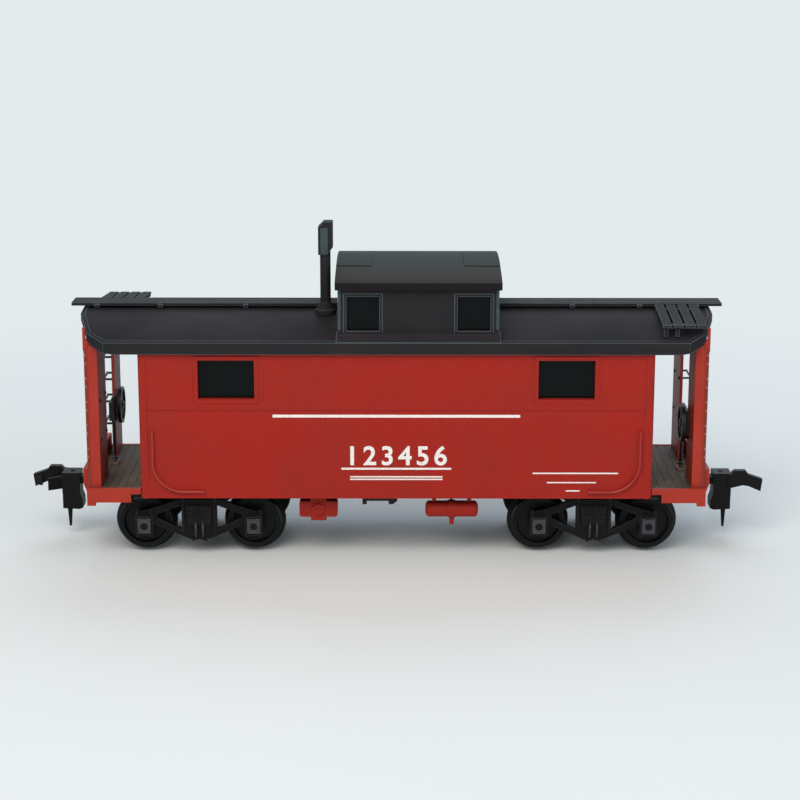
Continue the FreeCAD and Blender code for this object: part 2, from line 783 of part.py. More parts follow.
def air_reservoir():
    """Air reservoir with its centre band, two hangers and the pipe down from the band."""
    made = body("air_reservoir")
    half = "tank_length / 2"
    radius = "tank_diameter / 2"
    band = "tank_band_length / 2"
    proud = f"{radius} + tank_band_relief"
    middle = "tank_start + tank_length / 2"
    turn(made, "Y", "tank_place", (middle, "tank_height"), "H_Axis",
         [(f"-{half}", "0"), (f"-{half}", f"{radius} * 0.5"),
          (f"-({half} - tank_dome * 0.3)", f"{radius} * 0.8"),
          (f"-({half} - tank_dome)", radius), (f"-{band}", radius), (f"-{band}", proud), (band, proud),
          (band, radius), (f"{half} - tank_dome", radius), (f"{half} - tank_dome * 0.3", f"{radius} * 0.8"),
          (half, f"{radius} * 0.5"), (half, "0")])
    straps = []
    for way in ("-", ""):
        place = f"{way}(tank_length / 3)"
        straps.append(box((f"{place} - tank_strap / 2", f"{place} + tank_strap / 2"),
                          ("tank_height", "floor_bottom")))
    add(made, "Y", ("-tank_place - tank_strap / 2", "-tank_place + tank_strap / 2"), *straps,
        origin=(middle, "0"))
    add(made, "Z", ("tank_pipe_bottom", "tank_height"),
        Disc(middle, "-tank_place", "tank_pipe_diameter / 2"))


def brake_cylinder():
    """Brake cylinder with its flange, bracket and push rod, beyond the centre sill."""
    made = body("brake_cylinder")
    radius = "cylinder_diameter / 2"
    rod = "push_rod_diameter / 2"
    end = "cylinder_length + push_rod_length"
    turn(made, "Y", "-cylinder_place", ("cylinder_start", "cylinder_height"), "H_Axis",
         [("0", "0"), ("0", radius), ("cylinder_length - 0.6", radius),
          ("cylinder_length - 0.6", f"{radius} + 0.25"), ("cylinder_length", f"{radius} + 0.25"),
          ("cylinder_length", rod), (end, rod), (end, "0")])
    add(made, "Y", ("cylinder_place - cylinder_diameter / 4", "cylinder_place + cylinder_diameter / 4"),
        box(("0.8", "cylinder_length - 1"), ("cylinder_height", "floor_bottom")),
        origin=("cylinder_start", "0"))


def brake_lever_bracket():
    """Lever guide below the floor between the valve and the reservoir."""
    made = body("brake_lever_bracket")
    foot = "lever_foot_bottom"
    back = "lever_length - 2 * lever_foot_length"
    add(made, "Y", ("-valve_place - lever_thickness / 2", "-valve_place + lever_thickness / 2"),
        [("0", "floor_bottom"), ("0", foot), ("lever_foot_length", foot),
         ("lever_foot_length", "lever_bottom"), (back, "lever_bottom"), (back, foot),
         ("lever_length - lever_foot_length", foot), ("lever_length", "lever_bottom"),
         ("lever_length", "floor_bottom")], origin=("lever_start", "0"))


# ---------------------------------------------------------------- body, doors and glazing

def side_window(way, border):
    """Outline of a side window, widened by a border."""
    half = f"(window_width / 2 + {border})"
    centre = f"{way}window_centre"
    return box((f"{centre} - {half}", f"{centre} + {half}"),
               (f"window_bottom - {border}", f"window_bottom + window_height + {border}"))


def body_shell():
    """Red body: side walls and gabled end walls with window and door openings and raised trim."""
    made = body("body_shell")
    inner_end = f"({HALF_BODY} - wall_thickness)"
    gable = f"({INNER_WIDTH} - piece_gap)"
    add(made, "Z", (FLOOR_TOP, "wall_top"), box(both(HALF_BODY), both(HALF_WIDTH)),
        box(both(inner_end), both(INNER_WIDTH)))
    for side in (-1, 1):
        add(made, "Z", ("body_bottom", FLOOR_TOP),
            box(both(HALF_BODY), across(side, INNER_WIDTH, HALF_WIDTH)))
        add(made, "X", across(side, inner_end, HALF_BODY),
            [(f"-{gable}", "wall_top - 1"), (gable, "wall_top - 1"),
             (gable, "wall_top", "0", "roof_ridge - roof_crown - piece_gap"), (f"-{gable}", "wall_top")])

    strip = f"({HALF_BODY} - corner_strip_width)"
    belt = (f"-({strip} - 0.15)", f"{strip} - 0.15")
    for side in (-1, 1):
        trim = [box(("-body_length / 2 + body_corner", f"-{strip}"), ("body_bottom", "wall_top - 0.3")),
                box((strip, "body_length / 2 - body_corner"), ("body_bottom", "wall_top - 0.3")),
                box(belt, ("belt_bottom", "belt_bottom + belt_height"))]
        for way in ("-", ""):
            trim.append(side_window(way, "window_frame"))
            trim.append(side_window(way, "0"))
        add(made, "Y", across(side, HALF_WIDTH, f"{HALF_WIDTH} + strip_relief"), *trim)
    cut(made, "Y", both(f"{HALF_WIDTH} + 1"), side_window("-", "0"), side_window("", "0"))
    cut(made, "X", both(f"{HALF_BODY} + 1"),
        box(both("door_width / 2"), (FLOOR_TOP, f"{FLOOR_TOP} + door_height")))
    soften(made, "body_corner", lambda edge: runs_along(edge, "z") and at_body_corner(edge))


def at_body_corner(edge):
    """True for an edge at one of the four outer corners of the body."""
    centre = edge.CenterOfMass
    at_end = abs(abs(centre.x) - number(HALF_BODY)) < 0.01
    return at_end and abs(abs(centre.y) - number(HALF_WIDTH)) < 0.01


def end_door(label, turned):
    """Door leaf with a window and two raised panels."""
    made = body(label, turned)
    half = "door_width / 2 - piece_gap"
    face = f"{HALF_BODY} - door_recess"
    glass = ("door_window_bottom", "door_window_bottom + door_window_height")
    add(made, "X", (f"{face} - door_thickness", face),
        box(both(half), (FLOOR_TOP, f"{FLOOR_TOP} + door_height - piece_gap")),
        box(both("door_window_width / 2"), glass))
    panel = both("door_window_width / 2")
    add(made, "X", (face, f"{face} + strip_relief"),
        box(panel, (f"{DECK_TOP} + 1", f"{DECK_TOP} + 5")),
        box(panel, (f"{DECK_TOP} + 6", "door_window_bottom - 1.5")))
    add(made, "X", (face, f"{face} + door_knob_diameter / 2"),
        Disc(f"{half} - 0.8", "door_window_bottom - 2.5", "door_knob_diameter / 2"))


def glazing():
    """Panes behind the side windows, the cupola windows and the doors."""
    sides = body("side_window_glazing", several=True)
    for side in (-1, 1):
        add(sides, "Y", across(side, f"{INNER_WIDTH} - pane_thickness", INNER_WIDTH),
            side_window("-", "pane_lap"), side_window("", "pane_lap"))
    upper = body("cupola_side_glazing", several=True)
    inner = "(cupola_width / 2 - cupola_wall)"
    for side in (-1, 1):
        add(upper, "Y", across(side, f"{inner} - pane_thickness", inner),
            cupola_window("-", "pane_lap / 2"), cupola_window("+", "pane_lap / 2"))
    ends = body("cupola_end_glazing", several=True)
    for side in (-1, 1):
        reach = "cupola_length / 2 - cupola_wall"
        low, high = across(side, f"{reach} - pane_thickness", reach)
        add(ends, "X", (f"cupola_centre + {low}", f"cupola_centre + {high}"),
            end_window(-1, "pane_lap"), end_window(1, "pane_lap"))
    doors = body("door_glazing", several=True)
    face = f"{HALF_BODY} - door_recess - door_thickness"
    half = "door_window_width / 2 + pane_lap"
    glass = ("door_window_bottom - pane_lap", "door_window_bottom + door_window_height + pane_lap")
    for side in (-1, 1):
        add(doors, "X", across(side, f"{face} - pane_thickness", face), box(both(half), glass))


# ---------------------------------------------------------------- roofs and cupola

def main_roof():
    """Arched roof with a hanging fascia, nosed ends, clipped corners and the cupola curbs."""
    made = body("main_roof")
    end = "roof_length / 2"
    inner = f"({HALF_ROOF} - fascia_thickness)"
    add(made, "Z", ("eave_bottom", "roof_ridge"), roof_plan("0"), roof_plan("fascia_thickness"))
    seat = f"({inner} - roof_seat)"
    add(made, "X", both(f"{end} - 0.1"),
        [(f"-({inner} + 0.2)", "wall_top"), (f"-{seat}", "wall_top", "0", "roof_ridge - roof_crown"),
         (seat, "wall_top"), (f"{inner} + 0.2", "wall_top"),
         (f"{inner} + 0.2", f"{FASCIA_TOP} - 0.2", "0", "roof_ridge - 0.15"),
         (f"-({inner} + 0.2)", f"{FASCIA_TOP} - 0.2")])
    high = "roof_ridge + 3"
    cut(made, "X", both(f"{end} + 1"),
        [(f"-{HALF_ROOF}", high), (f"-{HALF_ROOF}", FASCIA_TOP, "0", "roof_ridge"),
         (HALF_ROOF, FASCIA_TOP), (HALF_ROOF, high)])
    wide = f"({HALF_ROOF} + 1)"
    for x_way in ("-", ""):
        cut(made, "Z", ("eave_bottom - 1", high),
            [(f"{x_way}corner_start", HALF_ROOF), (f"{x_way}corner_end", "corner_side"),
             (f"{x_way}({end})", "nose_side"), (f"{x_way}({end})", "-nose_side"),
             (f"{x_way}corner_end", "-corner_side"), (f"{x_way}corner_start", f"-{HALF_ROOF}"),
             (f"{x_way}corner_start", f"-{wide}"), (f"{x_way}({end} + 1)", f"-{wide}"),
             (f"{x_way}({end} + 1)", wide), (f"{x_way}corner_start", wide)])
        cut(made, "Y", both(wide),
            [(f"{x_way}sweep_start", "eave_bottom - 1"),
             (f"{x_way}sweep_start", "eave_bottom", f"{x_way}sweep_middle", "eave_bottom + sweep_middle_rise"),
             (f"{x_way}sweep_turn", "eave_bottom + sweep_turn_rise",
              f"{x_way}sweep_round", "eave_bottom + sweep_round_rise"),
             (f"{x_way}({end})", "eave_bottom + sweep_end_rise"),
             (f"{x_way}({end} + 1)", "eave_bottom + sweep_end_rise"),
             (f"{x_way}({end} + 1)", "eave_bottom - 1")])
    for side in (-1, 1):
        add(made, "Z", (f"{FASCIA_TOP} - 0.3", "curb_top"),
            box((f"{CUPOLA_LEFT} - curb_overlap", f"{CUPOLA_RIGHT} + curb_overlap"),
                across(side, "cupola_width / 2 - cupola_wall - 0.2", "curb_width / 2")))
    soften(made, "curb_edge", lambda edge: runs_along(edge, "x") and at_curb_edge(edge))


def roof_plan(inset):
    """Plan of the roof, set in by a wall: straight eaves, clipped corners and a faceted nose."""
    corner = [(f"roof_length / 2 - {inset}", f"nose_side - 0.15 * {inset}"),
              (f"corner_end - 0.85 * {inset}", f"corner_side - 0.6 * {inset}"),
              (f"corner_start - 0.4 * {inset}", f"{HALF_ROOF} - {inset}")]
    back = list(reversed(corner))
    return (corner + [(f"-({x})", y) for x, y in back] + [(f"-({x})", f"-({y})") for x, y in corner]
            + [(x, f"-({y})") for x, y in back])


def at_curb_edge(edge):
    """True for the outer top edge of a cupola curb."""
    centre = edge.CenterOfMass
    at_top = abs(centre.z - number("curb_top")) < 0.01
    return at_top and abs(abs(centre.y) - number("curb_width / 2")) < 0.01


def cupola_window(way, border):
    """Outline of a cupola side window, widened by a border."""
    half = f"(cupola_window_width / 2 + {border})"
    centre = f"cupola_centre {way} cupola_window_offset"
    top = f"cupola_window_bottom + cupola_window_height + {border}"
    return box((f"{centre} - {half}", f"{centre} + {half}"), (f"cupola_window_bottom - {border}", top))


def end_window(side, border):
    """Outline of a cupola end window, widened by a border."""
    half = f"(end_window_width / 2 + {border})"
    return box(across(side, f"end_window_offset - {half}", f"end_window_offset + {half}"),
               (f"end_window_bottom - {border}", f"end_window_bottom + end_window_height + {border}"))


def cupola_shell():
    """Cupola walls, standing on the curbs and on the arch of the roof."""
    made = body("cupola_shell")
    inner = "(cupola_width / 2 - cupola_wall)"
    add(made, "Z", (f"{FASCIA_TOP} - 1", "cupola_wall_top"),
        box((CUPOLA_LEFT, CUPOLA_RIGHT), both("cupola_width / 2")),
        box((f"{CUPOLA_LEFT} + cupola_wall", f"{CUPOLA_RIGHT} - cupola_wall"), both(inner)))
    trim_to_roof(made, (f"{CUPOLA_LEFT} - 1", f"{CUPOLA_RIGHT} + 1"))
    for side in (-1, 1):
        cut(made, "X", (f"{CUPOLA_LEFT} - 1", f"{CUPOLA_RIGHT} + 1"),
            box(across(side, f"{inner} - 0.2 - piece_gap", "cupola_width / 2 + 1"),
                (f"{FASCIA_TOP} - 2", "curb_top")))
    for side in (-1, 1):
        add(made, "Y", across(side, "cupola_width / 2", "cupola_width / 2 + cupola_relief"),
            cupola_window("-", "cupola_frame"), cupola_window("-", "0"),
            cupola_window("+", "cupola_frame"), cupola_window("+", "0"))
    cut(made, "Y", both("cupola_width / 2 + 1"), cupola_window("-", "0"), cupola_window("+", "0"))
    cut(made, "X", (f"{CUPOLA_LEFT} - 1", f"{CUPOLA_RIGHT} + 1"), end_window(-1, "0"), end_window(1, "0"))


def cupola_roof():
    """Flatter arched roof of the cupola, hollow below, with two raised crown pads."""
    made = body("cupola_roof")
    half = "cupola_roof_width / 2"
    low_edge = "cupola_eave_bottom + cupola_fascia_height"
    left = "cupola_centre - cupola_roof_length / 2"
    right = "cupola_centre + cupola_roof_length / 2"
    add(made, "X", (left, right),
        [(f"-{half}", "cupola_wall_top"), (half, "cupola_wall_top"), (half, low_edge, "0", "cupola_ridge"),
         (f"-{half}", low_edge)])
    add(made, "Z", ("cupola_eave_bottom", "cupola_wall_top"), box((left, right), both(half)),
        box((f"{CUPOLA_LEFT} - piece_gap", f"{CUPOLA_RIGHT} + piece_gap"),
            both("cupola_width / 2 + cupola_relief + piece_gap")))
    hollow = "(cupola_width / 2 - cupola_wall - 0.5)"
    cut(made, "X", ("cupola_centre - cupola_hollow_length / 2", "cupola_centre + cupola_hollow_length / 2"),
        [(f"-{hollow}", "cupola_wall_top"),
         (f"-{hollow}", "cupola_wall_top + 0.05", "0", "cupola_ridge - cupola_shell"),
         (hollow, "cupola_wall_top + 0.05"), (hollow, "cupola_wall_top")])
    pad_half = "crown_pad_width / 2"
    edge = "crown_pad_edge"
    for stretch in ((left, f"{left} + crown_pad_length"), (f"{right} - crown_pad_length", right)):
        add(made, "X", stretch,
            [(f"-{pad_half}", f"{edge} - 0.6", "0", "cupola_ridge - 0.5"), (pad_half, f"{edge} - 0.6"),
             (pad_half, edge, "0", "cupola_ridge + crown_pad_height"), (f"-{pad_half}", edge)])


def running_board(side):
    """Three-plank running board on saddles, from the cupola to beyond the end of the roof."""
    made = body(f"running_board_{side}")
    stretch = (f"{CUPOLA_RIGHT} + board_gap", "board_reach")
    if side == "left":
        stretch = ("-board_reach", f"{CUPOLA_LEFT} - board_gap")
    add(made, "X", stretch, box(both("board_width / 2"), ("board_top - board_thickness", "board_top")))
    seam = "board_width / 6"
    depth = ("board_top - board_thickness / 3", "board_top")
    grooves = [box((f"{way}({seam}) - board_groove / 2", f"{way}({seam}) + board_groove / 2"), depth)
               for way in ("-", "")]
    cut(made, "X", stretch, *grooves)
    for place in SADDLES[side]:
        add(made, "X", (f"{place} - saddle_length / 2", f"{place} + saddle_length / 2"),
            box(both("board_width / 2 + saddle_lap"),
                ("roof_ridge - 1", "board_top - board_thickness / 2")))
    trim_to_roof(made, stretch)


def lateral_walk(label, turned):
    """Slatted walk that leads from the running board to the ladder at the corner of the roof."""
    made = body(label, turned)
    made.AllowCompound = True  # the slats are joined by their bars only after they are repeated
    top = "slat_top"
    far_top = "(slat_top - slat_drop)"
    slat = add(made, "X", ("slat_start", "slat_start + slat_width"),
               [("-slat_inside", top), ("-slat_reach", far_top),
                ("-slat_reach", f"{far_top} - slat_thickness"), ("-slat_inside", f"{top} - slat_thickness")])
    repeat(made, slat, "X", "3 * slat_pitch", "4")
    whole = ("slat_start", "slat_start + 3 * slat_pitch + slat_width")
    add(made, "X", whole,
        box(("-slat_bar_inside - slat_bar", "-slat_bar_inside"), ("roof_ridge - 1.5", f"{top} - 0.4")))
    add(made, "X", whole,
        box(("-slat_bar_outside - slat_bar", "-slat_bar_outside"), (f"{far_top} - 0.7", f"{far_top}")))
    for start in ("slat_start + 0.3", "slat_start + slat_pitch + 0.3"):
        add(made, "X", (start, f"{start} + slat_bar"),
            box(("-slat_bar_outside - slat_bar", "-slat_bar_outside"), (f"{FASCIA_TOP} - 0.5", far_top)))
    trim_to_roof(made, whole)


def smokejack():
    """Smokejack: flared base, pipe and a hood bevelled at one top corner."""
    made = body("smokejack")
    here = (JACK_PLACE, "0")
    pipe_radius = "jack_diameter / 2"
    base = "jack_base_diameter / 2"
    turn(made, "Y", "jack_offset", here, "V_Axis",
         [("0", "roof_ridge - 1.5"), (base, "roof_ridge - 1.5"), (base, "roof_ridge + 0.25"),
          (f"{base} - 0.3", "roof_ridge + 0.5"), (pipe_radius, "roof_ridge + jack_base_height"),
          (pipe_radius, "jack_hood_bottom + 2"), ("0", "jack_hood_bottom + 2")])
    trim_to_roof(made, (f"{JACK_PLACE} - 5", f"{JACK_PLACE} + 5"))
    add(made, "Y", ("-jack_offset - jack_hood_depth / 2", "-jack_offset + jack_hood_depth / 2"),
        [("-jack_hood_left", "jack_hood_bottom"), ("0.3", "jack_hood_bottom"),
         ("jack_hood_right", "jack_hood_bottom + jack_hood_step"), ("jack_hood_right", "jack_top"),
         ("-jack_hood_left + jack_bevel", "jack_top"), ("-jack_hood_left", "jack_top - jack_bevel")],
        origin=here)


# ---------------------------------------------------------------- end platforms

def deck(label, turned):
    """Planked platform deck on the floor."""
    made = body(label, turned)
    start = f"{HALF_BODY} + piece_gap"
    add(made, "Z", (FLOOR_TOP, DECK_TOP), box((start, "deck_end"), both(BEAM_SIDE)))
    first = f"{start} + plank_pitch"
    groove = cut(made, "Z", (f"{DECK_TOP} - plank_groove_depth", DECK_TOP),
                 box((f"{first} - plank_groove / 2", f"{first} + plank_groove / 2"), both(BEAM_SIDE)))
    repeat(made, groove, "X", "(plank_count - 2) * plank_pitch", "plank_count - 1")


def platform_sill(label, turned):
    """Side sills with their notch and lug, joined below the deck to the raised end sill."""
    made = body(label, turned)
    face = f"{BEAM_SIDE} + side_sill_thickness"
    top = f"{DECK_TOP} + side_sill_lip"
    inner = "deck_end + piece_gap"
    for side in (-1, 1):
        add(made, "Y", across(side, BEAM_SIDE, face),
            [(f"{HALF_BODY} + piece_gap", top), (f"{HALF_BODY} + piece_gap", "sill_notch_bottom"),
             ("side_sill_start", "sill_notch_bottom"), ("side_sill_start", "side_sill_bottom"),
             ("sill_lug_start", "side_sill_bottom"), ("sill_lug_start", "sill_lug_bottom"),
             ("side_sill_end", "sill_lug_bottom"), ("side_sill_end", top)])
    made.AllowCompound = True  # the two sides are joined by the end sill
    web = (inner, "side_sill_end")
    for side in (-1, 1):
        add(made, "Z", ("side_sill_bottom", "sill_web_top"),
            box(web, across(side, "coupler_notch_half", face)))
    bevel = "end_sill_outside - end_sill_bevel"
    add(made, "Y", both("end_sill_half"),
        [(inner, SILL_BRIDGE), (bevel, SILL_BRIDGE), ("end_sill_outside", "sill_web_top + 1.2"),
         ("end_sill_outside", "end_sill_top"), (inner, "end_sill_top")])
    cut(made, "X", ("deck_end - 1", "end_sill_outside + 1"),
        box(("-doorway_near", "doorway_far"), ("walkway_sill_top", "end_sill_top + 1")))


def end_frame(label, turned, flange_side):
    """Thin end sheet with the doorway and two corner posts, one of them with a swept flange."""
    made = body(label, turned)
    corner = "doorway_corner"
    wide = "frame_half_width"
    outline = [(wide, DECK_TOP), (wide, "post_top"), ("frame_crown_half", "post_top"),
               ("frame_crown_half", "frame_crown_edge", "0", "frame_crown_top"),
               ("-frame_crown_half", "frame_crown_edge"), ("-frame_crown_half", "post_top"),
               (f"-{wide}", "post_top"), (f"-{wide}", DECK_TOP)]
    doorway = [("-doorway_near", DECK_TOP), ("-doorway_near", f"doorway_top - {corner}"),
               (f"-doorway_near + {corner}", "doorway_top"), (f"doorway_far - {corner}", "doorway_top"),
               ("doorway_far", f"doorway_top - {corner}"), ("doorway_far", DECK_TOP)]
    add(made, "X", ("frame_plane", FRAME_OUTSIDE), outline + doorway)
    for side in (-1, 1):
        add(made, "Y", across(side, f"{wide} - post_width", wide),
            [("frame_plane", DECK_TOP), (POST_OUTSIDE, DECK_TOP), (POST_OUTSIDE, "post_top + post_rise"),
             ("frame_plane", "post_top")])
    corner_flange(made, flange_side)
    rung_hole = "rung_diameter / 2 + wire_clearance"
    legs = cut(made, "X", (f"{FRAME_OUTSIDE} - wire_hole_depth", FRAME_OUTSIDE),
               Disc("-rung_leg", "rung_bottom", rung_hole), Disc("-rung_far_leg", "rung_bottom", rung_hole))
    repeat(made, legs, "Z", "(rung_count - 1) * rung_pitch", "rung_count")
    grab_hole = "grab_diameter / 2 + wire_clearance"
    for height in ("grab_height", "grab_height + grab_pitch"):
        cut(made, "X", ("frame_plane - 0.1", f"{FRAME_OUTSIDE} + 0.1"),
            Disc("grab_inside", height, grab_hole), Disc("grab_outside", height, grab_hole))


def corner_flange(made, side):
    """Flange that sweeps round the outer corner of a post, carried up to the roof by a stile."""
    tip = f"{POST_OUTSIDE} + flange_reach"
    root = f"{POST_OUTSIDE} - 0.05"
    wide = "frame_half_width"
    way = "-" if side < 0 else ""
    add(made, "Z", (DECK_TOP, "post_top"),
        [(root, f"{way}({wide} - 0.05)", f"{tip} - 0.32", f"{way}({wide} - 0.45)"),
         (tip, f"{way}flange_inside"), (f"{tip} - flange_wall", f"{way}flange_inside"),
         (root, f"{way}({wide} - post_width + 0.05)")])
    add(made, "Y", across(side, "stile_inside", "stile_inside + stile_width"),
        [(root, "post_top - 0.5"), (tip, "post_top - 0.5"), (tip, "stile_top"),
         (f"{tip} - stile_depth", "stile_top"), (f"{tip} - stile_depth", "post_top + gusset_rise"),
         (root, "post_top + post_rise")])


def ladder_rungs(label, turned):
    """Ladder rungs of bent wire, both legs in the end sheet."""
    made = body(label, turned, several=True)
    inner = f"{FRAME_OUTSIDE} - wire_hole_depth"
    for index in range(int(number("rung_count"))):
        height = f"rung_bottom + {index} * rung_pitch"
        staple(made, inner, "-rung_far_leg", "-rung_leg", height, "rung_diameter / 2")


def grab_irons(label, turned):
    """Two grab irons of bent wire whose pins show inside the sheet."""
    made = body(label, turned, several=True)
    inner = "frame_plane - grab_pin"
    for height in ("grab_height", "grab_height + grab_pitch"):
        staple(made, inner, "grab_inside", "grab_outside", height, "grab_diameter / 2")


def staple(owner, inner, low, high, height, radius):
    """A wire bent like a staple: two legs that reach out to a bar between them."""
    for leg in (low, high):
        add(owner, "X", (inner, f"{WIRE_PLANE} + {radius}"), Disc(leg, height, radius))
    add(owner, "Y", (f"{low} - {radius}", f"{high} + {radius}"), Disc(WIRE_PLANE, height, radius))


def brake_stand(label, turned):
    """Hand brake housing with the spindle of its wheel, the rod and the foot on the deck."""
    made = body(label, turned)
    low = f"brake_height - brake_box_height / 2"
    high = f"brake_height + brake_box_height / 2"
    add(made, "X", (BRAKE_FACE, "frame_plane"),
        [("-brake_box_high", f"{low} + 0.8"), ("-brake_box_high + 0.8", low), ("-brake_box_low - 0.8", low),
         ("-brake_box_low", f"{low} + 0.8"), ("-brake_box_low", f"{high} - 0.8"),
         ("-brake_box_low - 0.8", high), ("-brake_box_high + 0.8", high), ("-brake_box_high", f"{high} - 0.8")])
    add(made, "X", ("frame_plane", "frame_plane + brake_box_back"),
        box(("-doorway_near + piece_gap", "-brake_box_low"), (f"{low} + 0.8", f"{high} - 0.8")))
    add(made, "X", (f"{BRAKE_FACE} - brake_wheel_gap - brake_wheel_thickness - 0.15", BRAKE_FACE),
        Disc("-brake_side", "brake_height", "spindle_diameter / 2"))
    middle = "frame_plane - brake_box_depth / 2"
    add(made, "Z", (DECK_TOP, f"{low} + 0.5"), Disc(middle, "-brake_rod_side", "brake_rod_diameter / 2"))
    half = "brake_foot_width / 2"
    add(made, "X", (BRAKE_FACE, "frame_plane"),
        [(f"-brake_rod_side - {half}", DECK_TOP), (f"-brake_rod_side + {half}", DECK_TOP),
         ("-brake_rod_side + 0.4", f"{DECK_TOP} + brake_foot_height"),
         ("-brake_rod_side - 0.4", f"{DECK_TOP} + brake_foot_height")])


def brake_wheel(label, turned):
    """Spoked hand brake wheel, bored for its spindle."""
    made = body(label, turned)
    here = ("-brake_side", "brake_height")
    far = f"{BRAKE_FACE} - brake_wheel_gap"
    near = f"{far} - brake_wheel_thickness"
    radius = "brake_wheel_diameter / 2"
    rim = f"{radius} - brake_rim"
    add(made, "X", (near, far), Disc("0", "0", radius), Disc("0", "0", rim), origin=here)
    inset = "brake_wheel_thickness / 4"
    reach = f"{rim} + brake_rim / 3"
    thin = (f"{near} + {inset}", f"{far} - {inset}")
    made.AllowCompound = True
    add(made, "X", thin, box(both(reach), both("brake_spoke / 2")), origin=here)
    for slope in ("-", ""):
        add(made, "X", thin,
            [(f"-0.5 * ({reach}) - 0.433 * brake_spoke", f"{slope}(-0.866 * ({reach}) + 0.25 * brake_spoke)"),
             (f"-0.5 * ({reach}) + 0.433 * brake_spoke", f"{slope}(-0.866 * ({reach}) - 0.25 * brake_spoke)"),
             (f"0.5 * ({reach}) + 0.433 * brake_spoke", f"{slope}(0.866 * ({reach}) - 0.25 * brake_spoke)"),
             (f"0.5 * ({reach}) - 0.433 * brake_spoke", f"{slope}(0.866 * ({reach}) + 0.25 * brake_spoke)")],
            origin=here)
    add(made, "X", (near, far), Disc("0", "0", "brake_hub_diameter / 2"), origin=here)
    cut(made, "X", (near, far), Disc("0", "0", "spindle_diameter / 2 + spindle_clearance"), origin=here)


def side_handrails():
    """Curved wire handrails at the four lower corners of the body."""
    made = body("side_handrails", several=True)
    radius = "handrail_diameter / 2"
    plane = f"({HALF_WIDTH} + handrail_standoff + {radius})"
    for y_way in ("-", ""):
        level = f"{'' if y_way else '-'}{plane}"
        for x_way in ("-", ""):
            spine = sketch_on(made, "Y", level)
            upper = (f"{x_way}handrail_side", "handrail_top")
            knee = (f"{x_way}handrail_side", "handrail_bend_top")
            bend = (f"{x_way}handrail_bend_middle", "handrail_bend_height")
            toe = (f"{x_way}handrail_bend_end", "handrail_bottom")
            tail = (f"{x_way}handrail_end", "handrail_bottom")
            bent_path(spine, upper, knee, bend, toe, tail)
            profile = sketch_on(made, "Z", "handrail_top")
            draw(profile, [Disc(f"{x_way}handrail_side", f"{y_way}{plane}", radius)])
            pipe(made, profile, spine)
            side = -1 if y_way else 1
            add(made, "Y", across(side, HALF_WIDTH, plane), Disc(*upper, radius), Disc(*tail, radius))


def bent_path(sketch, upper, knee, bend, toe, tail):
    """A line, an arc and a line, joined end to end."""
    points = [FreeCAD.Vector(number(x), number(z)) for x, z in (upper, knee, toe, tail)]
    first = sketch.addGeometry(Part.LineSegment(points[0], points[1]), False)
    arc, start, end = arc_between(sketch, points[1], bend, points[2])
    last = sketch.addGeometry(Part.LineSegment(points[2], points[3]), False)
    sketch.addConstraint(Sketcher.Constraint("Coincident", first, 2, arc, start))
    sketch.addConstraint(Sketcher.Constraint("Coincident", arc, end, last, 1))
    pin_point(sketch, first, 1, *upper)
    pin_point(sketch, first, 2, *knee)
    pin_point(sketch, last, 1, *toe)
    pin_point(sketch, last, 2, *tail)


# ---------------------------------------------------------------- couplers

def coupler_box(label, turned):
    """Walls of the coupler pocket below the floor, open to the front."""
    made = body(label, turned)
    back = "coupler_pivot - coupler_box_back"
    front = "coupler_pivot + coupler_box_front"
    half = "coupler_box_width / 2"
    inner = f"{half} - coupler_box_wall"
    add(made, "Z", (LID_TOP, "floor_bottom"),
        [(back, f"-({half})"), (front, f"-({half})"), (front, f"-({inner})"),
         (f"{back} + coupler_box_wall", f"-({inner})"), (f"{back} + coupler_box_wall", inner),
         (front, inner), (front, half), (back, half)])


def coupler_lid(label, turned):
    """Lid of the coupler pocket with the hollow post on which the coupler turns."""
    made = body(label, turned)
    half = "coupler_box_width / 2"
    add(made, "Z", (LID_BOTTOM, LID_TOP),
        box(("coupler_pivot - coupler_box_back", "coupler_pivot + coupler_box_front"), both(half)))
    add(made, "Z", (LID_TOP, "floor_bottom"), Disc("coupler_pivot", "0", "coupler_post_diameter / 2"))
    cut(made, "Z", (LID_BOTTOM, "floor_bottom"),
        Disc("coupler_pivot", "0", "lid_screw_diameter / 2 + fit_gap"))


def lid_screws():
    """Screws that hold the coupler lids to the floor."""
    made = body("lid_screws", several=True)
    head = f"{LID_BOTTOM} - lid_screw_head_height"
    top = "floor_bottom + screw_depth"
    for way in ("-", ""):
        turn(made, "Y", "0", (f"{way}coupler_pivot", "0"), "V_Axis",
             [("0", head), ("lid_screw_head / 2 - 0.2", head), ("lid_screw_head / 2", f"{head} + 0.2"),
              ("lid_screw_head / 2", LID_BOTTOM), ("lid_screw_diameter / 2", LID_BOTTOM),
              ("lid_screw_diameter / 2", top), ("0", top)])


